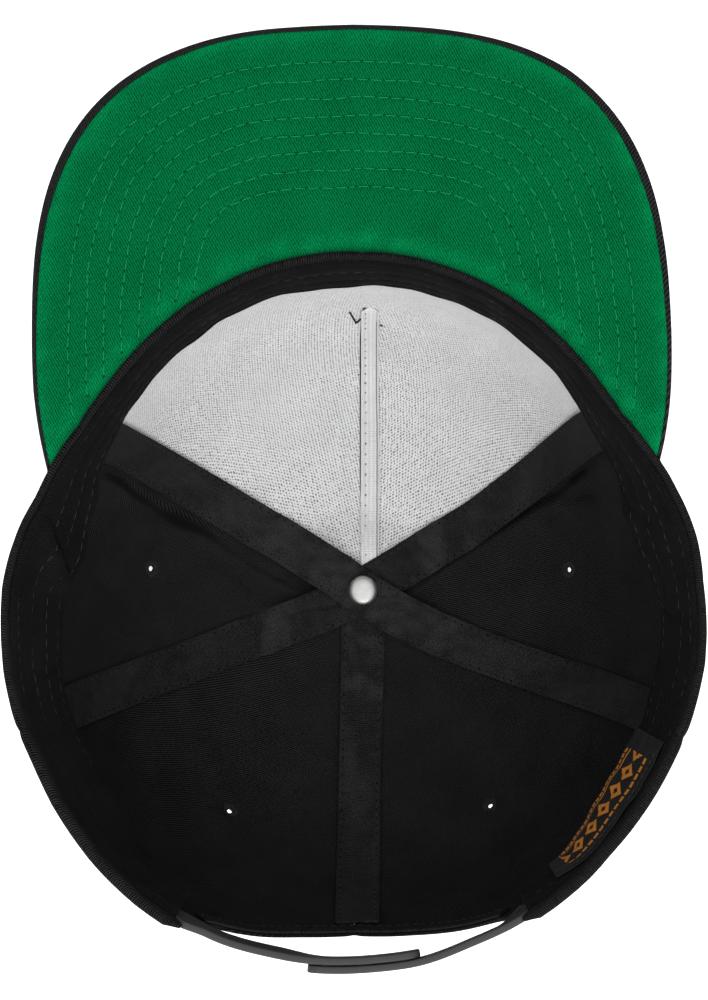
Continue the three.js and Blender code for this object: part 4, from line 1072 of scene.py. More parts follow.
# Loose ends of black thread where the seam stops: each is a line of across and stretch beside the front seam
threadEnds = (
    [(-3.7, 1.628), (-3.1, 1.606), (-2.4, 1.580), (-1.6, 1.552)],
    [(-1.6, 1.552), (-1.1, 1.560), (-0.5, 1.573), (0.1, 1.587)],
    [(0.5, 1.650), (0.9, 1.657), (1.3, 1.665)],
    [(6.1, 1.553), (6.7, 1.551), (7.3, 1.549)],
)
looseThread = dict(pitch=1.1, gap=-0.25, radius=0.3, lift=0.05, skew=0.0, pit=0.2, pitRise=0.04, seed=29)
endRows = []
for threadEnd in threadEnds:
    across, stretch = np.array(threadEnd).T
    endRows.append((stripPoint(seams["front"], stretch, across, np.full(len(stretch), overBuckram + 0.1)),
                    stripNormal(seams["front"], stretch, across)))
sewRows("seam_thread_ends", endRows, looseThread, eyeletThread)
print("strip made")

sweatband = dict(width=30.4, drop=2.2, thickness=1.4, atRim=1.6, rows=(0.1, 0.35, 0.62, 0.87), quilt=0.5,
                 ends=150.6, meanRadius=98.0, tongueFrom=142.9, tongueStep=3.2, tightest=1.7, columnPitch=0.9)
bandThread = dict(pitch=4.1, gap=1.5, radius=0.15, lift=0.02, skew=0.12, pit=0.3, pitRise=0.04, seed=23)

# Radius of the inner face at the free edge, by azimuth: the band buckles in beside the visor's corners
bandEdge = np.array([
    [-152, 102.5], [-144, 100.0], [-132, 93.6], [-121, 91.5], [-115, 91.8], [-108, 91.1], [-99, 88.7], [-89, 86.5],
    [-81, 80.9], [-75, 80.6], [-68.5, 81.7], [-64, 84.6], [-56, 86.4], [-50, 87.6], [-44, 88.7], [-38, 90.0],
    [-32, 90.9], [-26, 92.2], [-20, 92.7], [-14, 93.3], [-8, 92.8], [-2, 92.9], [4, 93.8], [10, 94.0], [16, 93.4],
    [22, 93.2], [28, 92.7], [34, 92.1], [40, 91.1], [46, 89.5], [52, 87.6], [56, 86.7], [65, 86.5], [71, 84.2],
    [80.5, 85.3], [91, 91.6], [101, 93.2], [106, 92.6], [115, 94.3], [122, 93.7], [130, 94.8], [137, 97.5],
    [144, 102.0], [152, 104.0]])

# Folds of the band, over its length from the front and its width: a flap pinched over itself beside one corner
bandFolds = (
    dict(line=[(-141, 30.4), (-131, 19.0), (-122, 9.0), (-117, 4.0)],
         sink=1.6, width=0.8, ridge=2.4, offset=-3.0, spread=3.2, soft=4.0),
    dict(line=[(111, 31), (116, 22), (122, 14)], sink=1.2, width=1.8, ridge=0.6, offset=3.5, spread=2.5, soft=5.0),
    dict(line=[(147, 31), (148.5, 18), (148, 6)], sink=0.8, width=1.3, ridge=0.4, offset=-2.5, spread=1.8, soft=5.0),
    dict(line=[(-163, 6), (-165, 18), (-162, 30)], sink=0.5, width=1.4, ridge=0.0, soft=6.0),
)


def bandEdgeRadius(azimuth):
    shifts = np.linspace(-2, 2, 5)
    weights = np.exp(-(shifts / 1.5) ** 2)
    return sum(w * np.interp(azimuth + shift, bandEdge[:, 0], bandEdge[:, 1])
               for w, shift in zip(weights, shifts)) / weights.sum()


# Point on the band: down runs from 0 under the rolled hem to 1 at the free edge, depth is in from its outer face
def bandPoint(azimuth, down, depth):
    spec = sweatband
    height = crown["height"] - spec["drop"] - down * spec["width"]
    wallRadius = meridian(azimuth, stretchAtHeight(crown["height"] - spec["drop"] - spec["width"]))[0]
    atEdge = np.maximum(wallRadius - bandEdgeRadius(azimuth) - spec["thickness"], spec["tightest"])
    # The strap's root is sewn in behind the band, whose top edge closes over it
    overTongue = smoothStep(np.abs(azimuth), spec["tongueFrom"] - 6, spec["tongueFrom"] + 4) * spec["tongueStep"]
    fold = foldsAt(np.asarray(azimuth, float) * bandPerDegree, down * spec["width"], bandFolds)
    overTongue = overTongue * smoothStep(down, 0.0, 0.12) * (1 - 0.7 * smoothStep(down, 0.62, 0.95))
    inset = lerp(spec["atRim"], atEdge, down) + overTongue + fold * smoothStep(down, 0.0, 0.3) + depth
    return crownPoint(azimuth, stretchAtHeight(height), inset)


def quiltRise(down, azimuth):
    marks = np.array([0.0, *sweatband["rows"], 1.0])
    k = np.clip(np.searchsorted(marks, down, side="right") - 1, 0, len(marks) - 2)
    share = (down - marks[k]) / (marks[k + 1] - marks[k])
    puff = np.sqrt(np.clip(np.sin(math.pi * share), 0, 1))
    return sweatband["quilt"] * puff * (1 + 0.35 * ripple(azimuth * bandPerDegree, down * 30, 51, 14.0))


def makeSweatband():
    spec = sweatband
    length = 2 * spec["ends"] * math.pi / 180 * spec["meanRadius"]
    azimuths = np.linspace(-spec["ends"], spec["ends"], int(length / spec["columnPitch"]))
    azimuths = np.unique(np.r_[azimuths, -spec["ends"] + 0.3, spec["ends"] - 0.3])
    atRows = [mark + np.array([-0.02, 0.0, 0.02]) for mark in spec["rows"]]
    down = np.unique(np.r_[edged(0.0, 1.0, 34, 0.035), *atRows])
    a, d = np.meshgrid(azimuths, down, indexing="ij")
    toEdge = np.minimum(np.minimum(d, 1 - d) * spec["width"], (spec["ends"] - np.abs(a)) * rimPerDegree)
    profile = np.maximum(roundedEdge(toEdge, 0.9), 0.15)
    half = spec["thickness"] / 2
    outer = bandPoint(a, d, half * (1 - profile))
    inner = bandPoint(a, d, half * (1 + profile) + quiltRise(d, a) * roundedEdge(toEdge, 2.0))
    uvs = np.stack([arcAlong(inner, 0)[:, len(down) // 2:len(down) // 2 + 1] + 0 * d, d * spec["width"]], axis=-1)
    makeSheet("sweatband_cloth", outer, inner, uvs, bandTwill, ["sweatband"])
    line = np.linspace(-spec["ends"] + 0.6, spec["ends"] - 0.6, 700)
    rows = []
    for mark in spec["rows"]:
        wobble = mark + 0.008 * ripple(line, line * 0, 52 + int(mark * 100), 25.0)
        normals = inward(line, stretchAtHeight(crown["height"] - spec["drop"] - mark * spec["width"]))
        sunk = 0.14 * smoothStep(np.abs(line), 105, 130)
        rows.append((bandPoint(line, wobble, spec["thickness"] + bandThread["lift"] - sunk), normals))
    return rows


sewRows("sweatband_stitches", makeSweatband(), bandThread, greyThread)


# Damask label: fine weft ribs in black, with plain bars and lozenges in orange yarn that stand a little proud
def damaskLabel(name, weave):
    material, tree, shader = startMaterial(name, {"Roughness": 0.65, "Specular IOR Level": 0.15,
                                                  "Sheen Weight": 0.03, "Sheen Roughness": 0.4})
    place = addNode(tree, "UVMap", uv_map="cloth")
    sides = addNode(tree, "SeparateXYZ", {0: place})
    along, across = sides.outputs["X"], sides.outputs["Y"]
    bars = None
    for row in weave["rows"]:
        fromMiddle = addNode(tree, "Math", {0: across, 1: row["at"]}, operation="SUBTRACT")
        away = addNode(tree, "Math", {0: fromMiddle}, operation="ABSOLUTE")
        tall = addNode(tree, "Math", {0: away, 1: row["half"]}, operation="DIVIDE")
        cell = addNode(tree, "Math", {0: along, 1: row["pitch"] / 2}, operation="PINGPONG")
        wide = addNode(tree, "Math", {0: cell, 1: row["pitch"] / 2}, operation="DIVIDE")
        size = addNode(tree, "Math", {0: tall, 1: wide}, operation="ADD" if row["lozenge"] else "MAXIMUM")
        ring = addNode(tree, "Math", {0: size, 1: row["ring"]}, operation="SUBTRACT")
        ringAway = addNode(tree, "Math", {0: ring}, operation="ABSOLUTE")
        solid = addNode(tree, "MapRange", {0: ringAway, 1: row["line"] * 1.15, 2: row["line"] * 0.85})
        bars = solid if bars is None else addNode(tree, "Math", {0: bars, 1: solid}, operation="MAXIMUM")
    inside = addNode(tree, "Math", {0: along, 1: weave["middle"], 2: weave["reach"]}, operation="COMPARE")
    shown = addNode(tree, "Math", {0: bars, 1: inside}, operation="MULTIPLY")
    ribs = waves(tree, place, (0.45, 0))
    fuzz = addNode(tree, "TexNoise", {"Vector": place, "Scale": 1.6, "Detail": 4.0})
    ground = addNode(tree, "Mix", {0: fuzz, 6: weave["shade"], 7: weave["ground"]}, data_type="RGBA")
    figure = addNode(tree, "Mix", {0: fuzz, 6: weave["figureShade"], 7: weave["figure"]}, data_type="RGBA")
    raised = addNode(tree, "Math", {0: shown, 1: 1.5, 2: ribs}, operation="MULTIPLY_ADD")
    colourAndRelief(tree, shader, shown, ground, figure, raised, 0.06, 0.8)
    return material


label = dict(start=114.6, end=143.6, top=0.1, bottom=0.94, thickness=0.6, gap=0.35, seam=0.045)
labelThread = dict(pitch=2.4, gap=0.7, radius=0.16, lift=0.06, skew=0.05, pit=0.2, pitRise=0.03, seed=24)


def makeLabel():
    spec = label
    azimuths = edged(spec["start"], spec["end"], 44, 0.4)
    down = edged(spec["top"], spec["bottom"], 26, 0.02)
    a, d = np.meshgrid(azimuths, down, indexing="ij")
    toEdge = np.minimum(np.minimum(d - spec["top"], spec["bottom"] - d) * sweatband["width"],
                        np.minimum(a - spec["start"], spec["end"] - a) * rimPerDegree)
    profile = np.maximum(roundedEdge(toEdge, 0.5), 0.2)
    base = sweatband["thickness"] + spec["gap"] + 0.6 * quiltRise(d, a) \
        + 0.25 * ripple(a * bandPerDegree, d * 30, 61, 12.0)
    half = spec["thickness"] / 2
    low = bandPoint(a, d, base + half * (1 - profile))
    top = bandPoint(a, d, base + half * (1 + profile))
    uvs = np.stack([arcAlong(top, 0), d * sweatband["width"]], axis=-1)
    makeSheet("label_patch", low, top, uvs, labelCloth, ["label"])
    line = np.linspace(spec["start"] + 0.5, spec["end"] - 0.5, 120)
    mark = spec["top"] + spec["seam"]
    rise = sweatband["thickness"] + spec["gap"] + 0.6 * quiltRise(mark + 0 * line, line) + spec["thickness"] + 0.1
    normals = inward(line, stretchAtHeight(crown["height"] - sweatband["drop"] - mark * sweatband["width"]))
    return [(bandPoint(line, mark + 0 * line, rise), normals)]


labelCloth = damaskLabel("blackPolyesterLabelDamaskWoven", dict(
    shade="#0C0C0C", ground="#181716", figure="#C98029", figureShade="#A66318", middle=26.0, reach=19.5,
    rows=(dict(at=16.5, half=5.6, pitch=6.5, lozenge=True, ring=0.62, line=0.28),
          dict(at=8.6, half=1.2, pitch=2.6, lozenge=False, ring=0.34, line=0.4),
          dict(at=23.8, half=0.45, pitch=60.0, lozenge=False, ring=0.3, line=0.7),
          dict(at=26.4, half=1.1, pitch=1.9, lozenge=False, ring=0.34, line=0.4))))
sewRows("label_stitches", makeLabel(), labelThread, greyThread)
print("sweatband and label made")

# Facing of the back opening
facing = dict(width=4.8, thickness=1.0, inset=1.3, columns=150, rise=0.25, stitchFromEdge=1.3, endsAt=19.0,
              besideArch=0.2, belowArch=0.3, wearAndPaintedLight=-0.5)
facingThread = dict(pitch=2.8, gap=0.8, radius=0.22, lift=0.1, skew=0.08, pit=0.3, pitRise=0.04, seed=25)


def facingPoint(turn, share, inset):
    width = facing["width"]
    spread = crown["archHalf"] + facing["besideArch"] + share * np.degrees(width / rimRadius(180.0))
    azimuth = 180 + spread * np.cos(turn)
    height = crown["height"] - (crown["archHeight"] + facing["belowArch"] + share * width) * np.sin(turn)
    return crownPoint(azimuth, stretchAtHeight(height), inset), inward(azimuth, stretchAtHeight(height))


def makeFacing():
    spec = facing
    endTurn = math.asin((spec["endsAt"] + spec["width"]) / crown["archHeight"])
    turns = np.linspace(endTurn, math.pi - endTurn, spec["columns"])
    share = edged(0.0, 1.0, 8, 0.14)
    t, v = np.meshgrid(turns, share, indexing="ij")
    profile = np.maximum(roundedEdge(np.minimum(v, 1 - v) * spec["width"], 0.7), 0.2)
    half = spec["thickness"] / 2
    inset = spec["inset"] + half
    low = facingPoint(t, v, inset - half * profile)[0]
    top = facingPoint(t, v, inset + half * profile + spec["rise"] * np.sin(math.pi * v))[0]
    uvs = np.stack([v * spec["width"], arcAlong(top, 0)], axis=-1)
    # The facing is given a darker tone all over
    makeSheet("opening_facing", low, top, uvs, blackTape, ["opening_binding"],
              np.full(v.shape, spec["wearAndPaintedLight"]))
    points, normals = facingPoint(turns, np.full(len(turns), 1 - spec["stitchFromEdge"] / spec["width"]),
                                  np.full(len(turns), inset + half + 0.2))
    return [(points, normals)]


sewRows("facing_stitches", makeFacing(), facingThread, blackThread, darkPit)
print("opening made")

visor = dict(width=184.0, tip=165.5, shoulder=75.0, roundness=2.75, rearInset=2.8, ends=(-67.3, 65.8), tilt=8.0,
             drop=1.2, thickness=2.2, underThickness=0.8, coverGap=0.35, rollRise=0.12, rootAt=2.94, rowCount=8,
             firstRow=9.0, rowPitch=5.1, groove=0.28, grooveWidth=0.75)
visorThread = dict(pitch=4.0, gap=0.75, radius=0.16, lift=0.06, skew=0.1, pit=0.3, pitRise=0.04, seed=26)
topThread = dict(pitch=4.3, gap=1.0, radius=0.25, lift=0.1, skew=0.1, pit=0.3, pitRise=0.04, seed=27)

# How wide the black top cover rolls over the underside, by azimuth
rollTable = np.array([[0, 1.5], [12, 1.6], [24, 2.4], [33, 3.1], [42, 2.7], [50, 1.9], [66, 1.6]])


def rollAt(azimuth):
    return np.interp(np.abs(azimuth), rollTable[:, 0], rollTable[:, 1])


# How far the worn edge lies outside the even outline, by azimuth
visorPush = np.array([
    [-67.3, -0.1], [-65.2, 0.4], [-62.9, 0.9], [-60, 1.4], [-57, 1.8], [-50, 1.8], [-42, 1.8], [-36, 1.6],
    [-30, 1.1], [-26, 0.7], [-22, 0.3], [-18, 0.1], [-6, 0.2], [0, 0.6], [6, 0.3], [12, 0.1], [22, 0.1],
    [26, -0.4], [34, -1.0], [40, -1.1], [46, -0.5], [50, 0.1], [56, 0.5], [59, 0.4], [62.7, -0.1], [65.8, -0.9]])


# Just inside the crown's outer face, at the visor's height
def visorRoot(azimuth):
    azimuth = np.asarray(azimuth, float)
    stretch = np.full(azimuth.shape, visor["rootAt"])
    place = crownPlace(azimuth, stretch)
    return np.hypot(place[..., 0], place[..., 1]) - slackAt(place, stretch) - 0.25


# The even outline is found by halving: a rounded front ahead of the shoulder, sides that narrow behind it
def evenReach(azimuth):
    azimuth = np.asarray(azimuth, float)
    turn = np.radians(azimuth)
    low = rimRadius(azimuth)
    high = np.full_like(low, 2 * visor["tip"])
    halfWidth = visor["width"] / 2
    for _ in range(40):
        middle = (low + high) / 2
        x = np.abs(middle * np.sin(turn))
        ahead = middle * np.cos(turn) - visor["shoulder"]
        rear = x < halfWidth - visor["rearInset"] * (ahead / visor["shoulder"] * 2) ** 2
        front = (x / halfWidth) ** visor["roundness"] \
            + (np.maximum(ahead, 0) / (visor["tip"] - visor["shoulder"])) ** visor["roundness"] < 1
        inside = np.where(ahead < 0, rear, front)
        low = np.where(inside, middle, low)
        high = np.where(inside, high, middle)
    return low


def visorReach(azimuth):
    return evenReach(azimuth) + np.interp(azimuth, visorPush[:, 0], visorPush[:, 1])


def visorPoint(azimuth, reach, height):
    turn = np.radians(azimuth)
    rise = math.tan(math.radians(visor["tilt"])) * (reach - rimRadius(azimuth))
    z = crown["height"] - visor["drop"] + rise + height
    return np.stack(np.broadcast_arrays(reach * np.sin(turn), reach * np.cos(turn), z), axis=-1)


outlineAzimuths = np.linspace(*visor["ends"], 900)
outlineReach = visorReach(outlineAzimuths)
outline = np.stack([outlineReach * np.sin(np.radians(outlineAzimuths)),
                    outlineReach * np.cos(np.radians(outlineAzimuths))], axis=-1)
greenOutline = outline * (1 - rollAt(outlineAzimuths) / outlineReach)[:, None]


def distanceToOutline(place, line):
    flat = place[..., :2].reshape(-1, 2)
    nearest = np.empty(len(flat))
    for k in range(0, len(flat), 4000):
        part = flat[k:k + 4000]
        nearest[k:k + 4000] = np.sqrt(((part[:, None] - line[None, ::3]) ** 2).sum(-1)).min(1)
    return nearest.reshape(place.shape[:-1])


# Rows of stitching, each an even distance inside the edge of the green, ending at the crown seam
def visorRows(side):
    rows = []
    ahead = unit(np.gradient(greenOutline, axis=0))
    inside = np.stack([ahead[:, 1], -ahead[:, 0]], axis=-1)
    inside *= np.sign((inside * -greenOutline).sum(-1).mean())
    for k in range(visor["rowCount"]):
        away = visor["firstRow"] + k * visor["rowPitch"]
        line = greenOutline + inside * away
        wobble = 0.22 * ripple(np.arange(len(line)) * 0.3, 0.0, 71 + k + 20 * (side > 0), 16.0)
        line = line + inside * wobble[:, None]
        azimuth = np.degrees(np.arctan2(line[:, 0], line[:, 1]))
        reach = np.hypot(line[:, 0], line[:, 1])
        keep = (reach > rimRadius(azimuth) + 1.2) \
            & (azimuth > visor["ends"][0] + 2) & (azimuth < visor["ends"][1] - 2)
        azimuth, reach = azimuth[keep], reach[keep]
        below = -visor["underThickness"] - visor["coverGap"] - visor["thickness"] + 0.12
        height = -visor["groove"] * 0.5 if side > 0 else below
        points = visorPoint(azimuth, reach, height)
        rows.append((points, np.broadcast_to([0.0, 0.0, float(side)], points.shape)))
    return rows


def grooveAt(place):
    distance = distanceToOutline(place, greenOutline)
    row = (distance - visor["firstRow"]) / visor["rowPitch"]
    nearest = np.clip(np.round(row), 0, visor["rowCount"] - 1)
    return visor["groove"] * bump((row - nearest) * visor["rowPitch"], visor["grooveWidth"])


def makeVisorUnder():
    spec = visor
    first, last = spec["ends"][0] + 0.6, spec["ends"][1] - 0.6
    azimuths = edged(first, last, 210, 0.5)
    a = azimuths[:, None]
    root = visorRoot(a)
    edge = np.maximum(visorReach(a) - rollAt(a) + 0.1, root + 0.2)
    share = edged(0.0, 1.0, 104, 0.012)[None, :]
    reach = lerp(root, edge, share)
    azimuth = np.broadcast_to(a, reach.shape)
    flat = visorPoint(azimuth, reach, 0.0)
    wave = 0.12 * ripple(flat[..., 0], flat[..., 1], 72, 22.0)
    toEdge = np.minimum(edge - reach, np.minimum(azimuth - first, last - azimuth) * 1.8)
    profile = roundedEdge(toEdge, 0.7)
    top = visorPoint(azimuth, reach, -spec["coverGap"] * (1 - profile) - grooveAt(flat) + wave)
    low = visorPoint(azimuth, reach, -spec["underThickness"] + 0 * reach)
    uvs = flat[..., :2]
    # Handling has faded the cloth along the edge and beside the crown
    faded = 0.55 * bump(distanceToOutline(flat, greenOutline), 3.6) + 0.5 * bump(reach - root - 3.5, 3.0)
    faded = np.clip(faded * (0.75 + 0.35 * ripple(flat[..., 0], flat[..., 1], 73, 9.0)), 0, 1)
    makeSheet("visor_green_cloth", low, top, uvs, greenTwill, ["visor_under_cover"], faded)


# The black cover is flat, and its edge rolls round on to the green
def makeVisorTop():
    spec = visor
    a = edged(*spec["ends"], 190, 0.5)[:, None]
    root = visorRoot(a)
    edge = np.maximum(visorReach(a), root + 0.6)
    roll = rollAt(a) * np.minimum(1, (edge - root) / rollAt(a) / 1.5)
    coverTop = -spec["underThickness"] - spec["coverGap"]
    body = spec["underThickness"] + spec["coverGap"] + spec["thickness"]
    middle = (spec["rollRise"] - body) / 2
    half = (spec["rollRise"] + body) / 2
    turns = np.linspace(0, math.pi / 2, 9)[1:]
    onFlat = np.linspace(0, 1, 46)
    start = edge - roll * 0.93
    reach = np.concatenate([lerp(root, edge - roll, onFlat), start, start + roll * 0.93 * np.sin(turns)], axis=1)
    rolling = half * np.cos(turns) ** 0.8
    heightTop = np.r_[np.full(len(onFlat), coverTop), -0.25, middle + rolling]
    heightLow = np.r_[np.full(len(onFlat) + 1, -body), middle - rolling]
    azimuth = np.broadcast_to(a, reach.shape)
    flat = visorPoint(azimuth, reach, 0.0)
    top = visorPoint(azimuth, reach, heightTop)
    low = visorPoint(azimuth, reach, heightLow + 0.8 * grooveAt(flat))
    uvs = np.stack([flat[..., 0], arcAlong(low, 1) + reach[:, :1]], axis=-1)
    makeSheet("visor_black_cover", low, top, uvs, blackTwill, ["visor_top_cover"])


makeVisorUnder()
makeVisorTop()
sewRows("visor_stitches_under", visorRows(1), visorThread, greenThread, greenPit)
sewRows("visor_stitches_top", visorRows(-1), topThread, blackThread, darkPit)
print("visor made")

# Snap straps: the one with pegs comes from the wearer's right and lies inside the one with holes
straps = dict(width=19.0, thickness=2.2, corner=3.5, tongue=8.0, lean=2.0, leanRight=0.9, pocketLean=-0.3,
              pitch=10.0, pegCount=7, fastened=3, pegDiameter=4.4, pegHeight=0.4, holeClearance=0.35, margin=6.5,
              overlapMiddle=-1.7, layerGap=0.35, edgeRound=0.55, columns=150, rows=22, pocketDrop=3.4,
              pocketInset=3.0)
strapRadius = float(rimRadius(180.0)) - 2.1

# Radius of the straps' middle line, by turn from the back seam towards the wearer's right
strapCourse = np.array([
    [-32, 104.5], [-26, 104.7], [-21, 104.9], [-16, 105.4], [-10.5, 105.6], [-4, 105.7], [0, 106.0], [4, 106.4],
    [10.3, 106.8], [15.4, 106.6], [22.5, 105.9], [28, 105.5], [32, 105.3]])
overlapTurn = math.degrees((2 * straps["margin"] + (straps["fastened"] - 1) * straps["pitch"]) / strapRadius)


def strapMiddle(turn):
    shifts = np.linspace(-4, 4, 9)
    return sum(np.interp(turn + shift, strapCourse[:, 0], strapCourse[:, 1]) for shift in shifts) / len(shifts)


def strapPlace(turn, down, layer):
    spec = straps
    pocket = smoothStep(np.abs(turn), crown["archHalf"] - 4.5, crown["archHalf"] + 1)
    inPocket = rimRadius(180 + turn) + pushAt(180 + turn, 3.0) - spec["pocketInset"]
    middle = lerp(strapMiddle(turn), inPocket, pocket)
    free = lerp(spec["lean"], spec["leanRight"], smoothStep(turn, 4, 12))
    radius = middle + lerp(free, spec["pocketLean"], pocket) * down + layer
    # Inside the pocket the top edge dips under the rolled hem
    dip = spec["pocketDrop"] * smoothStep(np.abs(turn), crown["archHalf"] - 0.4, crown["archHalf"] + 1.6) * (1 - down)
    azimuth = np.radians(180 + turn)
    return np.stack(np.broadcast_arrays(radius * np.sin(azimuth), radius * np.cos(azimuth),
                                        crown["height"] - 0.5 - down * spec["width"] - dip), axis=-1)


# side is 1 for the wearer's right; outside is 1 when the strap lies outside the other
def strapLayer(turn, side, outside):
    overlapEdge = -side * straps["overlapMiddle"] + overlapTurn / 2
    fromRoot = smoothStep(side * turn, overlapEdge + 1, overlapEdge + 13)
    return outside * (1 - fromRoot) * (straps["thickness"] + straps["layerGap"]) / 2


def strapFaces(side, outside):
    spec = straps
    tip = spec["overlapMiddle"] - side * overlapTurn / 2
    root = side * (crown["archHalf"] + math.degrees(spec["tongue"] / float(rimRadius(152.0))))
    corner = np.degrees(spec["corner"] * np.array([0, 0.02, 0.06, 0.12, 0.2, 0.32, 0.48, 0.7, 1.0]) / strapRadius)
    turns = np.r_[tip + side * corner[:-1], np.linspace(tip + side * corner[-1], root, spec["columns"])]
    fromTip = np.minimum(spec["corner"], np.abs(turns - tip) * math.pi / 180 * strapRadius)
    cut = spec["corner"] - np.sqrt(spec["corner"] ** 2 - (spec["corner"] - fromTip) ** 2)
    share = edged(0.0, 1.0, spec["rows"], 0.035)
    down = lerp(cut[:, None] / spec["width"], 1 - cut[:, None] / spec["width"], share[None, :])
    t = np.broadcast_to(turns[:, None], down.shape)
    toTip = np.abs(t - tip) * math.pi / 180 * strapRadius
    toEdge = np.minimum(np.minimum(share, 1 - share)[None, :] * spec["width"], toTip)
    half = spec["thickness"] / 2
    soft = half - spec["edgeRound"] * (1 - roundedEdge(toEdge, spec["edgeRound"]))
    layer = strapLayer(t, side, outside)
    inner = strapPlace(t, down, layer - soft)
    outer = strapPlace(t, down, layer + soft)
    uvs = np.stack([toTip, down * spec["width"]], axis=-1)
    return inner, outer, uvs


def fastenerFrame(turn, side, outside):
    azimuth = math.radians(180 + turn)
    return strapPlace(np.array(turn), 0.5, strapLayer(turn, side, outside)), \
        np.array([math.sin(azimuth), math.cos(azimuth), 0.0])


def makeStraps():
    spec = straps
    step = math.degrees(spec["pitch"] / strapRadius)
    margin = math.degrees(spec["margin"] / strapRadius)
    inner, outer, uvs = strapFaces(1, -1)
    makeSheet("strap_pegged", inner, outer, uvs, strapPlastic, ["strap_with_pegs"])
    half = spec["pegDiameter"] / 2
    low, top = 0.6, spec["thickness"] / 2 + spec["pegHeight"]
    profile = [(0, low), (half * 0.86, low), (half * 0.86, top - 1.2), (half * 0.9, top - 1.0), (half, top - 0.75),
               (half, top - 0.5), (half * 0.93, top - 0.2), (half * 0.78, top - 0.04), (half * 0.4, top), (0, top)]
    points, quads, pegUvs = [], [], []
    firstPeg = spec["overlapMiddle"] - overlapTurn / 2 + margin
    for k in range(spec["pegCount"]):
        centre, axis = fastenerFrame(firstPeg + k * step, 1, -1)
        p, q, u = turned(profile, 28, centre, axis)
        quads.append(q + sum(len(part) for part in points))
        points.append(p)
        pegUvs.append(u)
    makePiece("strap_pegs", np.concatenate(points), np.concatenate(quads).tolist(), strapPlastic,
              np.concatenate(pegUvs), smoothAngle=50)

    inner, outer, uvs = strapFaces(-1, 1)
    strap = makeSheet("strap_holed", inner, outer, uvs, strapPlastic, ["strap_with_holes"])
    points, quads = [], []
    firstHole = spec["overlapMiddle"] + overlapTurn / 2 - margin
    holeHalf = spec["pegDiameter"] / 2 + spec["holeClearance"]
    cutter = [(0, -3.0), (holeHalf, -3.0), (holeHalf, 3.0), (0, 3.0)]
    for k in range(spec["pegCount"]):
        centre, axis = fastenerFrame(firstHole - k * step, -1, 1)
        p, q, _ = turned(cutter, 40, centre, axis)
        quads.append(q + sum(len(part) for part in points))
        points.append(p)
    mesh = bpy.data.meshes.new("cutter")
    mesh.from_pydata(((np.concatenate(points) + crownMiddle) / 1000).tolist(), [], np.concatenate(quads).tolist())
    cutterObject = bpy.data.objects.new("cutter", mesh)
    bpy.context.collection.objects.link(cutterObject)
    boolean = strap.modifiers.new("holes", "BOOLEAN")
    boolean.operation = "DIFFERENCE"
    boolean.solver = "EXACT"
    boolean.object = cutterObject
    graph = bpy.context.evaluated_depsgraph_get()
    cutMesh = bpy.data.meshes.new_from_object(strap.evaluated_get(graph))
    strap.modifiers.clear()
    strap.data = cutMesh
    bpy.data.objects.remove(cutterObject)
    cutMesh.polygons.foreach_set("use_smooth", np.ones(len(cutMesh.polygons), bool))
    cutMesh.set_sharp_from_angle(angle=math.radians(35))


makeStraps()
print("straps made")

button = dict(diameter=14.0, height=4.65, sides=96, pucker=0.12, gathers=22)
rivet = dict(diameter=9.2, height=2.6, base=11.2, skirt=0.42, sides=96, place=(2.8, 0.5))


def makeButton():
    radius, height = button["diameter"] / 2, button["height"]
    steps = np.linspace(0, math.pi / 2, 18)
    profile = [(0, 0)]
    profile += [(radius * math.sin(t) ** 0.85, height * 0.62 * (1 - math.cos(t)) ** 1.25) for t in steps[1:]]
    profile += [(radius * 0.985, height * 0.78), (radius * 0.93, height * 0.92), (radius * 0.82, height),
                (radius * 0.5, height), (0, height)]

    def gathered(radius, height, angles):
        folds = button["pucker"] * np.sin(button["gathers"] * angles) * smoothStep(height, 1.5, 3.8)
        return radius - folds * (radius > 3), height

    points, quads, _ = turned(profile, button["sides"], (crown["buttonShift"], 0, 0), (0, 0, 1), ridge=gathered)
    makePiece("button_covered", points, quads.tolist(), blackTwill, points[:, :2], ["top_button"])


def makeRivet():
    half, height, base = rivet["diameter"] / 2, rivet["height"], rivet["base"]
    skirt = height * rivet["skirt"]
    profile = [(0, base), (half * 0.9, base), (half * 0.97, base + 0.08), (half, base + 0.3),
               (half, base + skirt - 0.15)]
    profile += [(half * 0.985 * math.cos(t * math.pi / 2) ** 0.5,
                 base + skirt + (height - skirt) * math.sin(t * math.pi / 2)) for t in np.linspace(0, 1, 16)[:-1]]
    profile += [(0, base + height)]
    points, quads, uvs = turned(profile, rivet["sides"], (*rivet["place"], 0), (0, 0, 1))
    makePiece("rivet_domed", points, quads.tolist(), nickel, uvs, ["rivet"], smoothAngle=60)


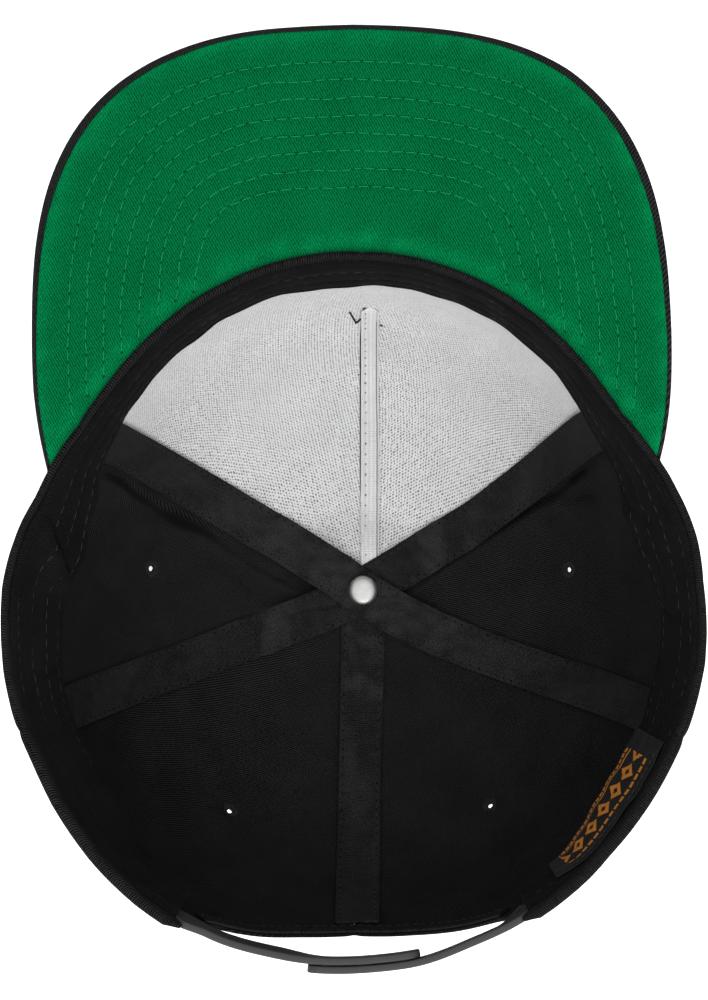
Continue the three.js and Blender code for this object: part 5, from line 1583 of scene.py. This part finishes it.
def makeEyelets():
    outer, hole, half = eyelet["diameter"] / 2, eyelet["hole"] / 2, eyelet["thickness"] / 2
    middle, wide = (outer + hole) / 2, (outer - hole) / 2
    turns = np.linspace(0, 2 * math.pi, 20, endpoint=False)
    profile = [(middle + wide * math.cos(t), half * math.sin(t)) for t in turns]

    def satinStitch(radius, height, angles):
        swell = 1 + eyelet["ridge"] * np.abs(np.sin(eyelet["ridges"] / 2 * angles)) ** 0.6 - eyelet["ridge"] / 2
        loose = 1 + 0.05 * np.sin(5 * angles + 1.0) + 0.04 * np.sin(11 * angles)
        return middle + (radius - middle) * loose, height * swell * loose

    for name, node, _, azimuth, share in eyeletPlaces:
        centre, axis = eyeletFrame(azimuth, share)
        points, quads, uvs = turned(profile, eyelet["sides"], centre, axis, True, satinStitch)
        makePiece(name, points, quads.tolist(), eyeletThread, uvs, [node])


# Loose ends of thread beside one eyelet, in plan from the crown's middle at their height
tailInset = 1.3
tailLines = ([(-62.5, 5.4), (-61.8, 4.2), (-60.6, 3.5), (-58.4, 3.7)], [(-60.8, 10.4), (-59.9, 8.8), (-60.0, 7.2)])
tailThread = dict(pitch=1.0, gap=-0.25, radius=0.2, lift=0.05, skew=0.0, pit=0.2, pitRise=0.04, seed=30)


def makeTail():
    rows = []
    dense = np.linspace(0.2, 2.9, 400)
    for line in tailLines:
        x, y = np.array(line, float).T
        azimuth = np.degrees(np.arctan2(x, y))
        stretch = np.array([np.interp(reach, meridian(turn, dense)[0], dense)
                            for turn, reach in zip(azimuth, np.hypot(x, y))])
        rows.append((crownPoint(azimuth, stretch, tailInset), inward(azimuth, stretch)))
    sewRows("eyelet_thread_tail", rows, tailThread, eyeletThread)


makeButton()
makeRivet()
makeEyelets()
makeTail()
print("button, rivet and eyelets made")

# Stitching outside, on both sides of every seam
outsideThread = dict(pitch=3.2, gap=0.9, radius=0.22, lift=0.1, skew=0.08, pit=0.3, pitRise=0.04, seed=28)
outsideSpan = (20.0, 2.86, 1.5)  # from the crown's middle, up to the stretch at the rim, below the back opening


def outsideRows():
    rows = []
    for name, azimuth in seams.items():
        if name == "back":
            top = float(stretchAtHeight(crown["height"] - crown["archHeight"] - outsideSpan[2]))
        else:
            top = outsideSpan[1]
        dense = np.linspace(outsideSpan[0] / float(flatRadius(azimuth)), top, 300)
        for side in (-1, 1):
            across = np.full((len(dense), 1), side * panelCloth["stitchFromSeam"])
            inset = lerp(0.25, -0.02, smoothStep(dense[:, None], 1.0, 1.15))
            points = stripPoint(azimuth, dense[:, None], across, inset)[:, 0]
            normals = -stripNormal(azimuth, dense[:, None], across)[:, 0]
            rows.append((points, normals))
    return rows


sewRows("crown_stitches", outsideRows(), outsideThread, blackThread, darkPit)
print("outside stitching made")
